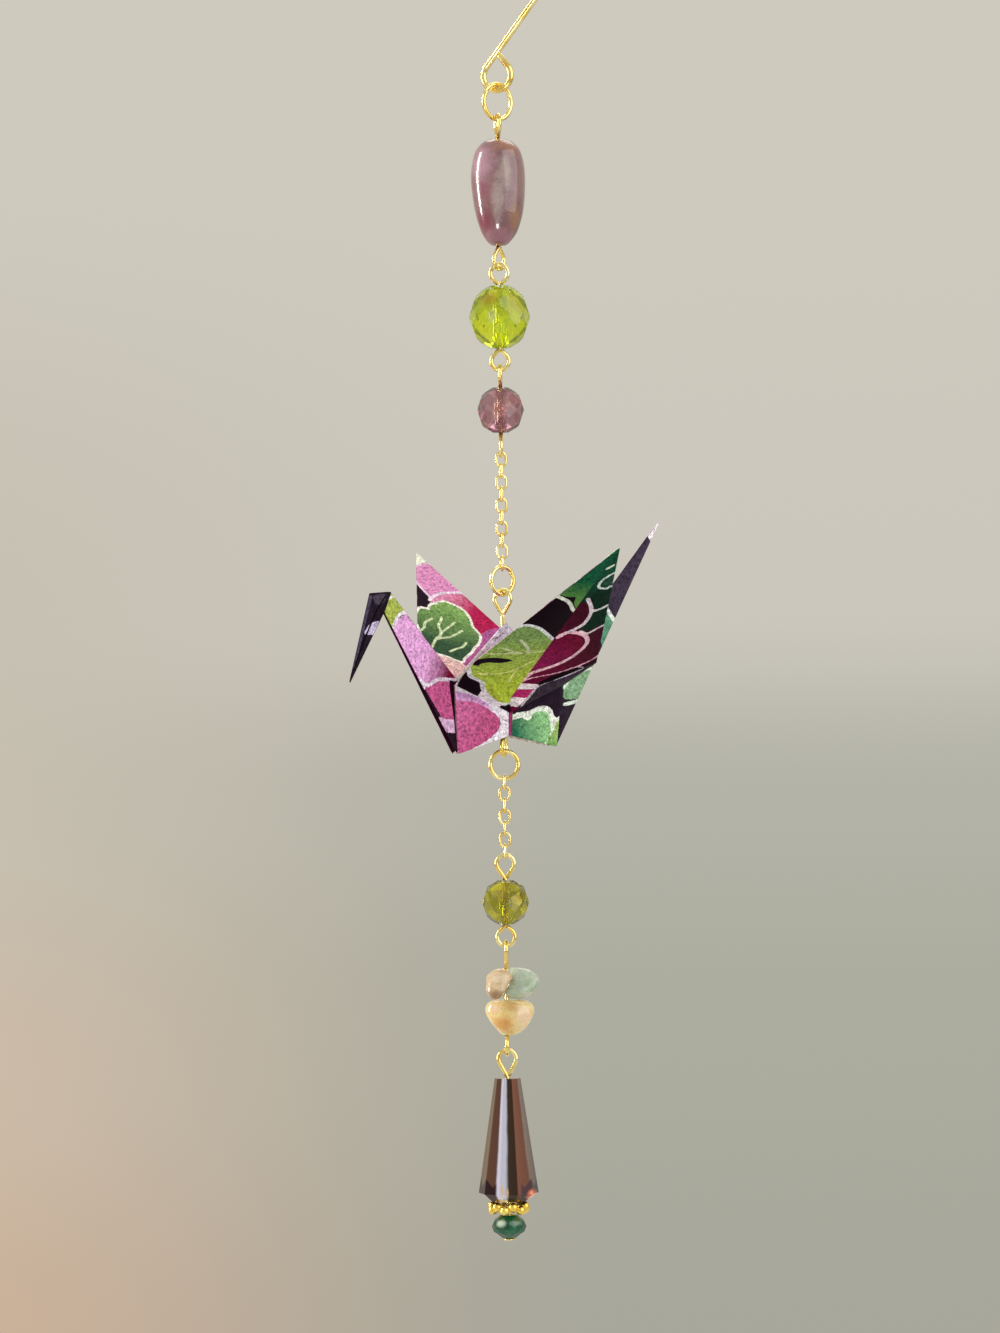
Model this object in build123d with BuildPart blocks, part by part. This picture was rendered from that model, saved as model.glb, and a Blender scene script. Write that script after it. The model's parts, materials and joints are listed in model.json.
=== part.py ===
from build123d import *
import os
from math import asin, cos, degrees, pi, radians, sin, sqrt, tan

# Hanging ornament: a folded paper crane on a linked strand of beads, wire loops and fine chain.
# Millimetres, +Z up. The origin is the point inside the hook's bend that bears on a peg or branch.
# X runs across the front view, Y away from it, and the plumb strand's axis is the Z axis.
# A wire piece is flat, and its turn is the angle of that flat about the strand, 0 facing the front.

# Wire
WIRE_SIDES = 8
hook_wire = 0.9
top_ring_wire = 0.65
pin_wire = 0.6
small_ring_wire = 0.6
link_wire = 0.35
wire_play = 0.04
bead_play = 0.1

# Hook
hook_bend_inner = 7.5
hook_loop_radius = 2.03
hook_lean = 39.1
hook_turn = -22.0
hook_mouth_angle = 205.0
hook_tip_gap = 0.05

# Jump rings
top_ring_outer = 5.55
small_ring_outer = 4.48
top_ring_turn = 40.0
upper_ring_turn = 38.0
lower_ring_turn = 0.0
ring_slit = 0.14
top_ring_slit_angle = 146.0
small_ring_slit_angle = 40.0

# Eye pins: height of each loop's crown over the bead mouth, to the outside of the wire
loop_outer = 3.05
stone_pin_top, stone_pin_bottom = 3.6, 3.45
green_pin_top, green_pin_bottom = 3.16, 3.25
mauve_pin_top, mauve_pin_bottom = 3.28, 3.43
crane_pin_top, crane_pin_bottom = 3.85, 2.95
crane_pin_neck = 0.9
olive_pin_top, olive_pin_bottom = 3.7, 3.2
chip_pin_top, chip_pin_bottom = 3.95, 2.9
drop_pin_top = 4.1
stone_pin_turns = (102.0, 56.0)
green_pin_turns = (-8.0, 0.0)
mauve_pin_turns = (90.0, 90.0)
crane_pin_turns = (-26.0, 75.0)
olive_pin_turns = (0.0, 0.0)
chip_pin_turns = (90.0, 90.0)
drop_pin_turn = 0.0

# Stone and faceted beads
bore_play = 0.3
overcut = 1.0
stone_bands = 14
chip_bands = 11
stone_width, stone_depth, stone_length = 7.6, 6.4, 14.8
green_diameter, green_length, green_bore = 7.95, 8.65, 1.5
mauve_diameter, mauve_length, mauve_bore = 6.15, 6.25, 1.2
olive_diameter, olive_length, olive_bore = 6.15, 6.15, 1.2
green_facets = 10
small_facets = 8
facet_tilts = (19.0, 41.0, 60.0)
crown_ratio = 1.045

# Chain
link_pitch = 1.6
link_outer_width = 1.7
upper_links = 10
lower_links = 7
first_upper_turn = 10.0
first_lower_turn = 90.0

# Chips
chip_row_height = 4.2
peach_height = 4.95
chip_play = 0.12

# Drop, spacer, rondelle and the pin's head
drop_length = 17.0
drop_top_width = 3.4
drop_girdle_width = 7.9
drop_foot_width = 5.4
drop_girdle_height = 1.1
drop_facets = 10
spacer_outer = 5.9
spacer_thick = 1.8
spacer_lobes = 12
spacer_lobe_width = 1.2
spacer_lobe_tilt = 20.0
spacer_lobe_sides = 8
spacer_web = 1.2
rondelle_diameter, rondelle_length = 4.6, 3.15
rondelle_tilts = (24.0, 52.0)
head_diameter, head_thick = 1.6, 0.3

# Crane: all of its flat lengths come from the side of the square sheet
sheet = 75.0
paper = 0.25
crane_turn = 35.0
crane_tilt = 1.45
body_spread = 1.3
head_side_gap = 0.55
tail_side_gap = 0.85
hinge_height = 5.1
near_wing_rise = 39.3
far_wing_rise = 39.0
far_wing_lean = 2.8
head_corner_drop = 2.6
tail_corner_drop = 1.5
corner_reach = 8.2
neck_lean = 32.2
tail_lean = 29.6
neck_share = 0.65
tail_share = 0.985
ridge_cut = 0.9
ridge_length = 0.8
leg_root = 3.3
head_width = 3.2
head_slope = 0.25
beak_lean = 14.2
fold_angle = 11.25
slit = 0.12
flap_inset = 0.4
flap_lift = 0.22
crane_bore_play = 0.2

os.makedirs("parts", exist_ok=True)
bearings = {}


def finish(builder, label):
    """Names one finished piece and writes it."""
    builder.part.label = label
    export_step(builder.part, f"parts/{label}.step")


def flat_plane(height, turn, upright=1):
    """The flat of a wire piece: x across it, y along the strand, up or down."""
    across = Vector(cos(radians(turn)), sin(radians(turn)), 0)
    along = Vector(0, 0, upright)
    return Plane(origin=(0, 0, height), x_dir=across, z_dir=across.cross(along))


def flat_plane_across(height):
    """A level plane on the strand at this height."""
    return Plane.XY.offset(height)


def wire_section(diameter):
    """Eight flats that touch the round wire of this diameter."""
    RegularPolygon(diameter / 2, WIRE_SIDES, major_radius=False, rotation=180 / WIRE_SIDES)


def hang_height(bearing, upper_wire, lower_wire):
    """Height of a hung piece's top wire centre, where it rests on the bar at this bearing."""
    return bearing + (upper_wire + lower_wire) / 2 + wire_play


def jump_ring(label, top, turn, outer, wire, slit_angle):
    """A round ring cut through once, made by turning its section about its centre."""
    radius = (outer - wire) / 2
    flat = flat_plane(top - radius, turn)
    slit = degrees(ring_slit / radius)
    start = radians(slit_angle)
    outward = flat.x_dir * cos(start) + flat.y_dir * sin(start)
    forward = flat.y_dir * cos(start) - flat.x_dir * sin(start)
    with BuildPart() as ring:
        with BuildSketch(Plane(origin=flat.origin + outward * radius, x_dir=outward, z_dir=forward)):
            wire_section(wire)
        revolve(axis=Axis(flat.origin, flat.z_dir), revolution_arc=360 - slit)
    finish(ring, label)
    return top - 2 * radius


def chain_link(label, top, turn):
    """One oval link: a wire swept round a slot-shaped centre line."""
    bow = (link_outer_width - link_wire) / 2
    straight = (link_pitch + link_wire + wire_play) / 2 - bow
    middle = flat_plane(top - straight - bow, turn)
    with BuildPart() as link:
        with BuildLine(middle):
            Line((bow, 0), (bow, straight))
            ThreePointArc((bow, straight), (0, straight + bow), (-bow, straight))
            Line((-bow, straight), (-bow, -straight))
            ThreePointArc((-bow, -straight), (0, -straight - bow), (bow, -straight))
            Line((bow, -straight), (bow, 0))
        side = middle.origin + middle.x_dir * bow
        with BuildSketch(Plane(origin=side, x_dir=middle.x_dir, z_dir=middle.y_dir)):
            wire_section(link_wire)
        sweep()
    finish(link, label)
    return top - 2 * (straight + bow)


def eye_loop(mouth, turn, upright, height):
    """A teardrop loop on the open pin: two straight legs from the mouth, tangent to a round crown."""
    bow = (loop_outer - pin_wire) / 2
    centre = height - pin_wire / 2 - bow
    leg = sqrt(centre**2 - bow**2)
    midway = pi / 4 - asin(bow / centre) / 2
    flat = flat_plane(mouth, turn, upright)
    crown = flat.origin + flat.y_dir * (centre + bow)
    with BuildPart() as loop:
        for side in (1, -1):
            tangent_point = (side * leg * bow / centre, leg**2 / centre)
            with BuildLine(flat):
                crown_side = (side * bow * cos(midway), centre + bow * sin(midway))
                ThreePointArc((0, centre + bow), crown_side, tangent_point)
                Line(tangent_point, (0, 0))
            with BuildSketch(Plane(origin=crown, x_dir=flat.y_dir, z_dir=flat.x_dir * side)):
                wire_section(pin_wire)
            sweep()
    return loop.part


def eye_pin(label, top, turns, top_height, stack, bottom_height):
    """A wire pin through its beads with a loop at each end. Returns its bead span and next bearing."""
    upper_mouth = top + pin_wire / 2 - top_height
    lower_mouth = upper_mouth - stack
    loops = (
        eye_loop(upper_mouth, turns[0], 1, top_height),
        eye_loop(lower_mouth, turns[1], -1, bottom_height),
    )
    with BuildPart() as pin:
        with BuildSketch(flat_plane_across(lower_mouth - pin_wire / 2)):
            wire_section(pin_wire)
        extrude(amount=stack + pin_wire)
        add(loops)
    finish(pin, label)
    return upper_mouth, lower_mouth - bottom_height + pin_wire / 2


def facet_spindle(middle, across, tilt, length, sides, rotation):
    """A pair of cut pyramids, base to base, whose sides touch the bead's rounded form at this tilt."""
    apothem = sqrt((across / 2) ** 2 + (crown_ratio * length / 2 * tan(radians(tilt))) ** 2)
    with BuildPart() as spindle:
        for way in (1, -1):
            with BuildSketch(Plane(origin=(0, 0, middle), x_dir=(1, 0, 0), z_dir=(0, 0, way))):
                RegularPolygon(apothem, sides, major_radius=False, rotation=rotation)
            extrude(amount=length / 2, taper=tilt)
    return spindle.part


def faceted_bead(label, top, across, length, sides, tilts, bore_radius):
    """A round bead cut flat all over: a belt of facets, then rows that lean in, each half a step on."""
    middle = top - length / 2
    spindles = [
        facet_spindle(middle, across, tilt, length, sides, 180 / sides * (1 + row))
        for row, tilt in enumerate(tilts)
    ]
    with BuildPart() as bead:
        with BuildSketch(flat_plane_across(top - length)):
            RegularPolygon(across / 2, sides, major_radius=False)
        extrude(amount=length)
        for spindle in spindles:
            add(spindle, mode=Mode.INTERSECT)
        with Locations((0, 0, middle)):
            Cylinder(bore_radius, length + overcut, mode=Mode.SUBTRACT)
    finish(bead, label)


def oval_at(profile, share):
    """The oval at this share of a stone's length, on a smooth curve through the chosen ones."""
    after = next(index for index, row in enumerate(profile) if row[0] >= share or index == len(profile) - 1)
    after = max(after, 1)
    before = profile[after - 1]
    beyond = profile[after]
    span = beyond[0] - before[0]
    part_way = (share - before[0]) / span
    rise = part_way**2 * (3 - 2 * part_way)
    first = profile[max(after - 2, 0)]
    last = profile[min(after + 1, len(profile) - 1)]
    oval = []
    for size in range(1, len(before)):
        start_slope = (beyond[size] - first[size]) / (beyond[0] - first[0]) * span
        end_slope = (last[size] - before[size]) / (last[0] - before[0]) * span
        bow = part_way * (1 - part_way) * (start_slope * (1 - part_way) - end_slope * part_way)
        oval.append(before[size] + (beyond[size] - before[size]) * rise + bow)
    return oval


def pebble(label, top, length, profile, bands, bore_radius):
    """A tumbled stone: a stack of ovals joined band by band, closest at the ends, then drilled."""
    with BuildPart() as stone:
        for band in range(bands + 1):
            share = (1 - cos(pi * band / bands)) / 2
            half_x, half_y, shift_x, shift_y = oval_at(profile, share)
            centre = (shift_x, shift_y, top - share * length)
            with BuildSketch(Plane(origin=centre, x_dir=(1, 0, 0), z_dir=(0, 0, 1))):
                Ellipse(half_x, half_y)
        loft(ruled=True)
        with Locations((0, 0, top - length / 2)):
            Cylinder(bore_radius, length + overcut, mode=Mode.SUBTRACT)
    finish(stone, label)


def panel(frame, *corners):
    """One flat facet of the folded sheet, given by its corners in the crane's frame."""
    points = [frame.from_local_coords(Vector(*corner)) for corner in corners]
    across = points[1] - points[0]
    face_plane = Plane(origin=points[0], x_dir=across, z_dir=across.cross(points[2] - points[0]))
    outline = [face_plane.to_local_coords(point) for point in points]
    with BuildPart() as facet:
        with BuildSketch(face_plane):
            with BuildLine():
                Polyline(*[(point.X, point.Y) for point in outline], close=True)
            make_face()
        extrude(amount=paper / 2, both=True)
    return facet.part


# Hook: bend, leaning leg and bottom loop are tangent, and the wire's end closes behind the leg
bend = hook_bend_inner + hook_wire / 2
lean = radians(hook_lean)
loop_drop = (bend + hook_loop_radius) / sin(lean)
bend_centre = -hook_bend_inner
loop_centre = bend_centre - loop_drop
apex = hook_loop_radius / sin(lean)
tip_back = (hook_wire * (1 + cos(2 * lean)) / 2 + hook_tip_gap) / sin(2 * lean)
hook_flat = flat_plane(0, hook_turn)
mouth = radians(hook_mouth_angle)
hook_start = (bend * cos(mouth), bend_centre + bend * sin(mouth))
bend_foot = (bend * cos(lean), bend_centre - bend * sin(lean))
loop_entry = (-hook_loop_radius * cos(lean), loop_centre + hook_loop_radius * sin(lean))
loop_exit = (hook_loop_radius * cos(lean), loop_centre + hook_loop_radius * sin(lean))
hook_end = (tip_back * sin(lean), loop_centre + apex - tip_back * cos(lean))
with BuildPart() as hook:
    with BuildLine(hook_flat):
        ThreePointArc(hook_start, (0, bend_centre + bend), bend_foot)
        Line(bend_foot, loop_entry)
        ThreePointArc(loop_entry, (0, loop_centre - hook_loop_radius), loop_exit)
        Line(loop_exit, hook_end)
    start_point = hook_flat.from_local_coords(Vector(*hook_start))
    start_way = hook_flat.x_dir * sin(mouth) - hook_flat.y_dir * cos(mouth)
    with BuildSketch(Plane(origin=start_point, x_dir=hook_flat.z_dir, z_dir=start_way)):
        wire_section(hook_wire)
    sweep()
finish(hook, "hook")
bearing = loop_centre - hook_loop_radius

# Top ring and stone
bearings["top_ring"] = (bearing, hook_turn)
bearing = jump_ring(
    "top_ring",
    hang_height(bearing, hook_wire, top_ring_wire),
    top_ring_turn,
    top_ring_outer,
    top_ring_wire,
    top_ring_slit_angle,
)
bearings["stone_pin"] = (bearing, top_ring_turn)
pin_bore = (pin_wire + bore_play) / 2
mouth_height, bearing = eye_pin(
    "stone_pin",
    hang_height(bearing, top_ring_wire, pin_wire),
    stone_pin_turns,
    stone_pin_top,
    stone_length + 2 * bead_play,
    stone_pin_bottom,
)
stone_profile = (
    (0, 0.30, 0.30, 0),
    (0.03, 0.56, 0.56, 0),
    (0.12, 0.84, 0.84, 0),
    (0.34, 1.0, 1.0, 0),
    (0.62, 0.93, 0.95, 0.01),
    (0.86, 0.68, 0.74, 0.01),
    (0.97, 0.4, 0.45, 0),
    (1, 0.24, 0.26, 0),
)
pebble(
    "purple_stone",
    mouth_height - bead_play,
    stone_length,
    [
        (share, x * stone_width / 2, y * stone_depth / 2, shift * stone_width, 0)
        for share, x, y, shift in stone_profile
    ],
    stone_bands,
    pin_bore,
)

# Green and mauve beads on their pins
beads = (
    ("green", green_pin_turns, green_pin_top, green_pin_bottom, green_diameter, green_length,
     green_facets, green_bore),
    ("mauve", mauve_pin_turns, mauve_pin_top, mauve_pin_bottom, mauve_diameter, mauve_length,
     small_facets, mauve_bore),
)
last_turn = stone_pin_turns[1]
for name, turns, top_height, bottom_height, across, length, sides, bore in beads:
    bearings[f"{name}_pin"] = (bearing, last_turn)
    mouth_height, bearing = eye_pin(
        f"{name}_pin",
        hang_height(bearing, pin_wire, pin_wire),
        turns,
        top_height,
        length + 2 * bead_play,
        bottom_height,
    )
    faceted_bead(f"{name}_bead", mouth_height - bead_play, across, length, sides, facet_tilts, bore / 2)
    last_turn = turns[1]


def chain(prefix, count, first_turn, bearing, upper_wire, upper_turn):
    """A run of links, each turned a quarter from the last. Returns the next bearing and its turn."""
    for number in range(count):
        turn = first_turn + 90 * (number % 2)
        name = f"{prefix}_link_{number + 1:02d}"
        bearings[name] = (bearing, upper_turn)
        bearing = chain_link(name, hang_height(bearing, upper_wire, link_wire), turn)
        upper_wire, upper_turn = link_wire, turn
    return bearing, upper_turn


# Upper chain and the ring above the crane
bearing, last_turn = chain("upper", upper_links, first_upper_turn, bearing, pin_wire, last_turn)
bearings["upper_ring"] = (bearing, last_turn)
bearing = jump_ring(
    "upper_ring",
    hang_height(bearing, link_wire, small_ring_wire),
    upper_ring_turn,
    small_ring_outer,
    small_ring_wire,
    small_ring_slit_angle,
)

# Crane frame: origin at the middle of the body's bottom, x to the tail, -y to the near wing. It is
# turned about the strand and then leans a little to +X on its pin.
half_sheet = sheet / 2
hump_height = half_sheet * tan(radians(2 * fold_angle))
bearings["crane_pin"] = (bearing, upper_ring_turn)
crane_pin_stack = crane_pin_neck + hump_height + paper + bead_play
mouth_height, bearing = eye_pin(
    "crane_pin",
    hang_height(bearing, small_ring_wire, pin_wire),
    crane_pin_turns,
    crane_pin_top,
    crane_pin_stack,
    crane_pin_bottom,
)
crane_base = mouth_height - crane_pin_neck - hump_height - paper / 2
crane_turned = Plane(origin=(0, 0, crane_base)).rotated((0, 0, crane_turn))
crane_frame = crane_turned.rotated((0, crane_tilt, 0))

# Places on the flat bird base, before the body is opened: the wing is narrowed at edge_height,
# its shoulder folds at shoulder_height, and the folded corner lands on the middle at corner_height
slim = tan(radians(fold_angle))
wide = tan(radians(2 * fold_angle))
edge_height = half_sheet * (wide - slim) / (wide + slim)
edge_reach = (half_sheet - edge_height) * wide
shoulder_height = (hump_height - slim * half_sheet) / (1 + slim)
shoulder_reach = hump_height - shoulder_height
corner_height = hump_height / sin(radians(2 * fold_angle)) - half_sheet


def side_offset(reach, gap):
    """How far a body panel stands off the crane's middle plane at this distance along it."""
    return body_spread - (body_spread - gap) * reach / shoulder_reach


def wing_and_body(side, end, rise, lean, gap, corner_drop):
    """One end of one side: wing half, its folded edge, shoulder, body wall, folded flap and hump."""

    def on_wing(reach, height):
        """A point of the flat wing at this height on the bird base, swung out to the wing's rise."""
        out = height - hinge_height
        return (
            reach + lean * out / (half_sheet - hinge_height),
            side * (body_spread + out * cos(radians(rise))),
            hinge_height + out * sin(radians(rise)),
        )

    def on_body(reach, height, lift=0):
        """A point of the body's side wall, or of a layer that lies this far outside it."""
        return (end * reach, side * (side_offset(reach, gap) + lift), height)

    edge = on_wing(end * edge_reach, edge_height)
    hinge = on_wing(end * slit / 2, hinge_height)
    fold_end = on_body(slit / 2, corner_height)
    shoulder = on_body(shoulder_reach, shoulder_height)
    return [
        (on_wing(end * slit / 2, half_sheet), edge, hinge),
        (hinge, edge, fold_end),
        (fold_end, edge, shoulder),
        (on_body(0, corner_height), shoulder, on_body(corner_reach, -corner_drop), on_body(0, 0)),
        (
            on_body(flap_inset, corner_height, flap_lift),
            on_body(shoulder_reach, shoulder_height, flap_lift),
            on_body(corner_reach, -corner_drop, flap_lift),
            on_body(flap_inset, -flap_inset * corner_drop / corner_reach, flap_lift),
        ),
        ((0, 0, hump_height), shoulder, on_body(0, corner_height)),
    ]


def towards(start, lean, length):
    """The point this far from start, up and leaning this many degrees along the crane."""
    return (start[0] + length * sin(radians(lean)), start[1] + length * cos(radians(lean)))


def leg(end, gap, corner_drop, lean, share):
    """Neck or tail up to this share of its length: two narrow layers, joined on the inner ridge only."""
    corner = (end * corner_reach, -corner_drop)
    length = (half_sheet - corner_drop) / cos(radians(fold_angle))
    tip = towards(corner, end * lean, length)
    ridge_lean = end * (lean + fold_angle)
    outer = towards(corner, end * lean, share * length)
    inner = towards(tip, ridge_lean, -ridge_cut * (1 - share) * length)
    ridge_foot = towards(tip, ridge_lean, -ridge_length * length)
    layers = []
    for side in (-1, 1):
        spread = side * side_offset(corner_reach, gap)
        foot = (corner[0], spread, corner[1])
        ridge = (ridge_foot[0], 0, ridge_foot[1])
        stop = (outer[0], spread * (1 - share), outer[1])
        layers.append((foot, stop, (inner[0], 0, inner[1]), ridge))
        layers.append((foot, ridge, (end * leg_root, 0, corner_height)))
    return layers, outer, inner, (1 - share) * length


def head(nape, crown, length):
    """The end of the neck, reversed over itself and pointing down to the beak."""
    crest = (crown[0] - head_width, 0, crown[1] - head_slope)
    beak_point = towards((crest[0], crest[2]), beak_lean, -length)
    beak = (beak_point[0], 0, beak_point[1])
    layers = []
    for side in (-1, 1):
        brow = (crown[0], side * paper, crown[1])
        layers.append((beak, crest, brow))
        layers.append((beak, brow, (nape[0], side * 2 * paper, nape[1])))
    return layers


outlines = []
for side, rise, lean_over in ((-1, near_wing_rise, 0), (1, far_wing_rise, far_wing_lean)):
    outlines += wing_and_body(side, -1, rise, lean_over, head_side_gap, head_corner_drop)
    outlines += wing_and_body(side, 1, rise, lean_over, tail_side_gap, tail_corner_drop)
neck, nape, crown, head_length = leg(-1, head_side_gap, head_corner_drop, neck_lean, neck_share)
tail = leg(1, tail_side_gap, tail_corner_drop, tail_lean, tail_share)[0]
outlines += neck + head(nape, crown, head_length) + tail
facets = [panel(crane_frame, *outline) for outline in outlines]
with BuildPart() as crane:
    add(facets)
    with Locations((0, 0, crane_base)):
        bore_reach = hump_height + head_corner_drop + overcut
        Cylinder((pin_wire + crane_bore_play) / 2, 2 * bore_reach, mode=Mode.SUBTRACT)
finish(crane, "paper_crane")

# Ring below the crane, lower chain and olive bead
bearings["lower_ring"] = (bearing, crane_pin_turns[1])
bearing = jump_ring(
    "lower_ring",
    hang_height(bearing, pin_wire, small_ring_wire),
    lower_ring_turn,
    small_ring_outer,
    small_ring_wire,
    small_ring_slit_angle,
)
bearing, last_turn = chain(
    "lower", lower_links, first_lower_turn, bearing, small_ring_wire, lower_ring_turn
)
bearings["olive_pin"] = (bearing, last_turn)
mouth_height, bearing = eye_pin(
    "olive_pin",
    hang_height(bearing, link_wire, pin_wire),
    olive_pin_turns,
    olive_pin_top,
    olive_length + 2 * bead_play,
    olive_pin_bottom,
)
faceted_bead(
    "olive_bead",
    mouth_height - bead_play,
    olive_diameter,
    olive_length,
    small_facets,
    facet_tilts,
    olive_bore / 2,
)

# Three chips on one pin: tan and green side by side, each drilled near one end, peach below
bearings["chip_pin"] = (bearing, olive_pin_turns[1])
mouth_height, bearing = eye_pin(
    "chip_pin",
    hang_height(bearing, pin_wire, pin_wire),
    chip_pin_turns,
    chip_pin_top,
    chip_row_height + chip_play + peach_height + 2 * bead_play,
    chip_pin_bottom,
)
chip_top = mouth_height - bead_play
tan_profile = (
    (0, 0.45, 0.45, -0.75, -0.35),
    (0.05, 0.95, 0.85, -0.85, -0.35),
    (0.25, 1.8, 1.4, -0.95, -0.25),
    (0.48, 1.6, 1.25, -1.25, -0.95),
    (0.72, 1.35, 1.15, -1.5, -1.55),
    (0.93, 0.8, 0.75, -1.6, -1.6),
    (1, 0.45, 0.45, -1.6, -1.55),
)
green_profile = (
    (0, 0.8, 0.5, 2.1, 1.1),
    (0.06, 1.3, 0.85, 2.5, 1.1),
    (0.25, 1.75, 1.15, 2.85, 1.05),
    (0.48, 2.1, 1.2, 2.5, 0.75),
    (0.72, 2.35, 1.3, 1.5, 0.4),
    (0.93, 1.75, 1.0, 1.3, 0.3),
    (1, 1.2, 0.75, 1.2, 0.25),
)
peach_profile = (
    (0, 1.5, 0.9, 0.3, 0),
    (0.04, 2.5, 1.5, 0.35, 0),
    (0.15, 3.25, 2.0, 0.4, 0),
    (0.35, 3.45, 2.2, 0.45, 0),
    (0.6, 2.9, 2.1, 0.5, 0),
    (0.85, 1.9, 1.5, 0.5, 0),
    (0.97, 1.15, 0.95, 0.35, 0),
    (1, 0.8, 0.7, 0.3, 0),
)
peach_top = chip_top - chip_row_height - chip_play
pebble("tan_chip", chip_top, chip_row_height, tan_profile, chip_bands, pin_bore)
pebble("green_chip", chip_top, chip_row_height, green_profile, chip_bands, pin_bore)
pebble("peach_chip", peach_top, peach_height, peach_profile, chip_bands, pin_bore)

# Drop, spacer and rondelle on the head pin
bearings["drop_pin"] = (bearing, chip_pin_turns[1])
drop_mouth = hang_height(bearing, pin_wire, pin_wire) + pin_wire / 2 - drop_pin_top
drop_top = drop_mouth - bead_play
spacer_top = drop_top - drop_length - bead_play
rondelle_top = spacer_top - spacer_thick - bead_play
head_top = rondelle_top - rondelle_length - bead_play
drop_loop = eye_loop(drop_mouth, drop_pin_turn, 1, drop_pin_top)
with BuildPart() as drop_pin:
    with BuildSketch(flat_plane_across(head_top)):
        wire_section(pin_wire)
    extrude(amount=drop_mouth + pin_wire / 2 - head_top)
    with BuildSketch(flat_plane_across(head_top - head_thick)):
        Circle(head_diameter / 2)
    extrude(amount=head_thick)
    add(drop_loop)
finish(drop_pin, "drop_pin")

girdle = drop_top - drop_length + drop_girdle_height
with BuildPart() as drop:
    with BuildSketch(flat_plane_across(girdle)):
        RegularPolygon(drop_girdle_width / 2, drop_facets, major_radius=False)
    with BuildSketch(flat_plane_across(drop_top)):
        RegularPolygon(drop_top_width / 2, drop_facets, major_radius=False)
    loft(ruled=True)
    with BuildSketch(flat_plane_across(drop_top - drop_length)):
        RegularPolygon(drop_foot_width / 2, drop_facets, major_radius=False)
    with BuildSketch(flat_plane_across(girdle)):
        RegularPolygon(drop_girdle_width / 2, drop_facets, major_radius=False)
    loft(ruled=True)
    with Locations((0, 0, drop_top - drop_length / 2)):
        Cylinder(pin_bore, drop_length + overcut, mode=Mode.SUBTRACT)
finish(drop, "glass_drop")

spacer_middle = spacer_top - spacer_thick / 2
half_step = 180 / spacer_lobe_sides
lobe = facet_spindle(
    spacer_middle, spacer_lobe_width, spacer_lobe_tilt, spacer_thick, spacer_lobe_sides, half_step
)
with BuildPart() as spacer:
    with BuildSketch(flat_plane_across(spacer_middle)):
        Circle((spacer_outer - spacer_lobe_width) / 2)
    extrude(amount=spacer_web / 2, both=True)
    with PolarLocations((spacer_outer - spacer_lobe_width) / 2, spacer_lobes):
        add(lobe)
    with Locations((0, 0, spacer_middle)):
        Cylinder(pin_bore, spacer_thick + overcut, mode=Mode.SUBTRACT)
finish(spacer, "daisy_spacer")

faceted_bead(
    "rondelle", rondelle_top, rondelle_diameter, rondelle_length, green_facets, rondelle_tilts, pin_bore
)

for name, (height, turn) in bearings.items():
    print(f"{name} bears at {height:.3f} on a bar turned {turn:.0f} degrees")
print(f"overall drop from the hang point {head_top - head_thick:.2f}")
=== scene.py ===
import bpy
import json
import numpy as np
from math import atan, cos, pi, radians, sin, sqrt, tan
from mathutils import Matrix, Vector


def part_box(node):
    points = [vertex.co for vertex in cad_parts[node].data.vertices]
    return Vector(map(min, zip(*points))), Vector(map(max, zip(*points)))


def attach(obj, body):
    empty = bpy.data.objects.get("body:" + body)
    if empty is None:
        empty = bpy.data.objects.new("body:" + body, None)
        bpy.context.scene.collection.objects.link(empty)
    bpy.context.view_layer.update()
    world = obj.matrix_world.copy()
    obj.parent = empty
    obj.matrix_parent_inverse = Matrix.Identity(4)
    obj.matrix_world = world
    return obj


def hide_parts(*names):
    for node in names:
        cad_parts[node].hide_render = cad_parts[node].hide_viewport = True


# Dressing of the hanging crane ornament. Lengths are millimetres until a mesh is made, +Z is up,
# the strand hangs on the Z axis from the hook at the origin, and the front view looks along +Y.

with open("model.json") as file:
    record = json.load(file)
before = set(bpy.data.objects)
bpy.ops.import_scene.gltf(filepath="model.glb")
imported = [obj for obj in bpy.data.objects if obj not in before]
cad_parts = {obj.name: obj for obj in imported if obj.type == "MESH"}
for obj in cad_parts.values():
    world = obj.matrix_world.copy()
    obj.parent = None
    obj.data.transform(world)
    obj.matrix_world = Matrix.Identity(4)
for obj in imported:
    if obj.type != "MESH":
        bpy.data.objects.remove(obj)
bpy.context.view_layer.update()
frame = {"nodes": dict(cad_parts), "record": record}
MM = 0.001

# Wire sizes, as the solids have them
HOOK_WIRE = 0.9
TOP_RING_WIRE = 0.65
PIN_WIRE = 0.6
RING_WIRE = 0.6
RING_SLIT = 0.16
LINK_WIRE = 0.35
LOOP_OUTER = 3.05
LOOP_END_BACK = 0.3
LINK_WIDTH = 1.7

# The link that the ring above the crane hangs in is a little wider, so the ring swings clear of its sides
RING_LINK = "upper_link_10"
RING_LINK_WIDTH = 1.9

# How wire is drawn: points round it, the step along it, how far its corners are eased, and for the two
# narrower sections at a cut end their sizes and places past the end, as shares of the radius
SPOKES = 18
STEP = 0.07
PIN_EASE = 0.45
HOOK_EASE = 0.3
END_SIZES = np.array([0.78, 0.94])
END_PLACES = np.array([0.25, 0.12])


# Meshes

def put(name, body, nodes, slot, finish, points, faces, inks=()):
    """One finished piece: points in millimetres, faces, the body it rides on and the nodes it replaces."""
    mesh = bpy.data.meshes.new(name)
    mesh.from_pydata((points * MM).tolist(), [], faces)
    mesh.polygons.foreach_set("use_smooth", np.ones(len(mesh.polygons), bool))
    for number, ink in enumerate(inks):
        layer = mesh.attributes.new(f"ink_{number}", "FLOAT_COLOR", "POINT")
        layer.data.foreach_set("color", ink.astype(np.float32).ravel())
    mesh.materials.append(finish)
    mesh.update()
    piece = bpy.data.objects.new(name, mesh)
    bpy.context.scene.collection.objects.link(piece)
    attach(piece, body)
    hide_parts(*nodes)


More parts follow.
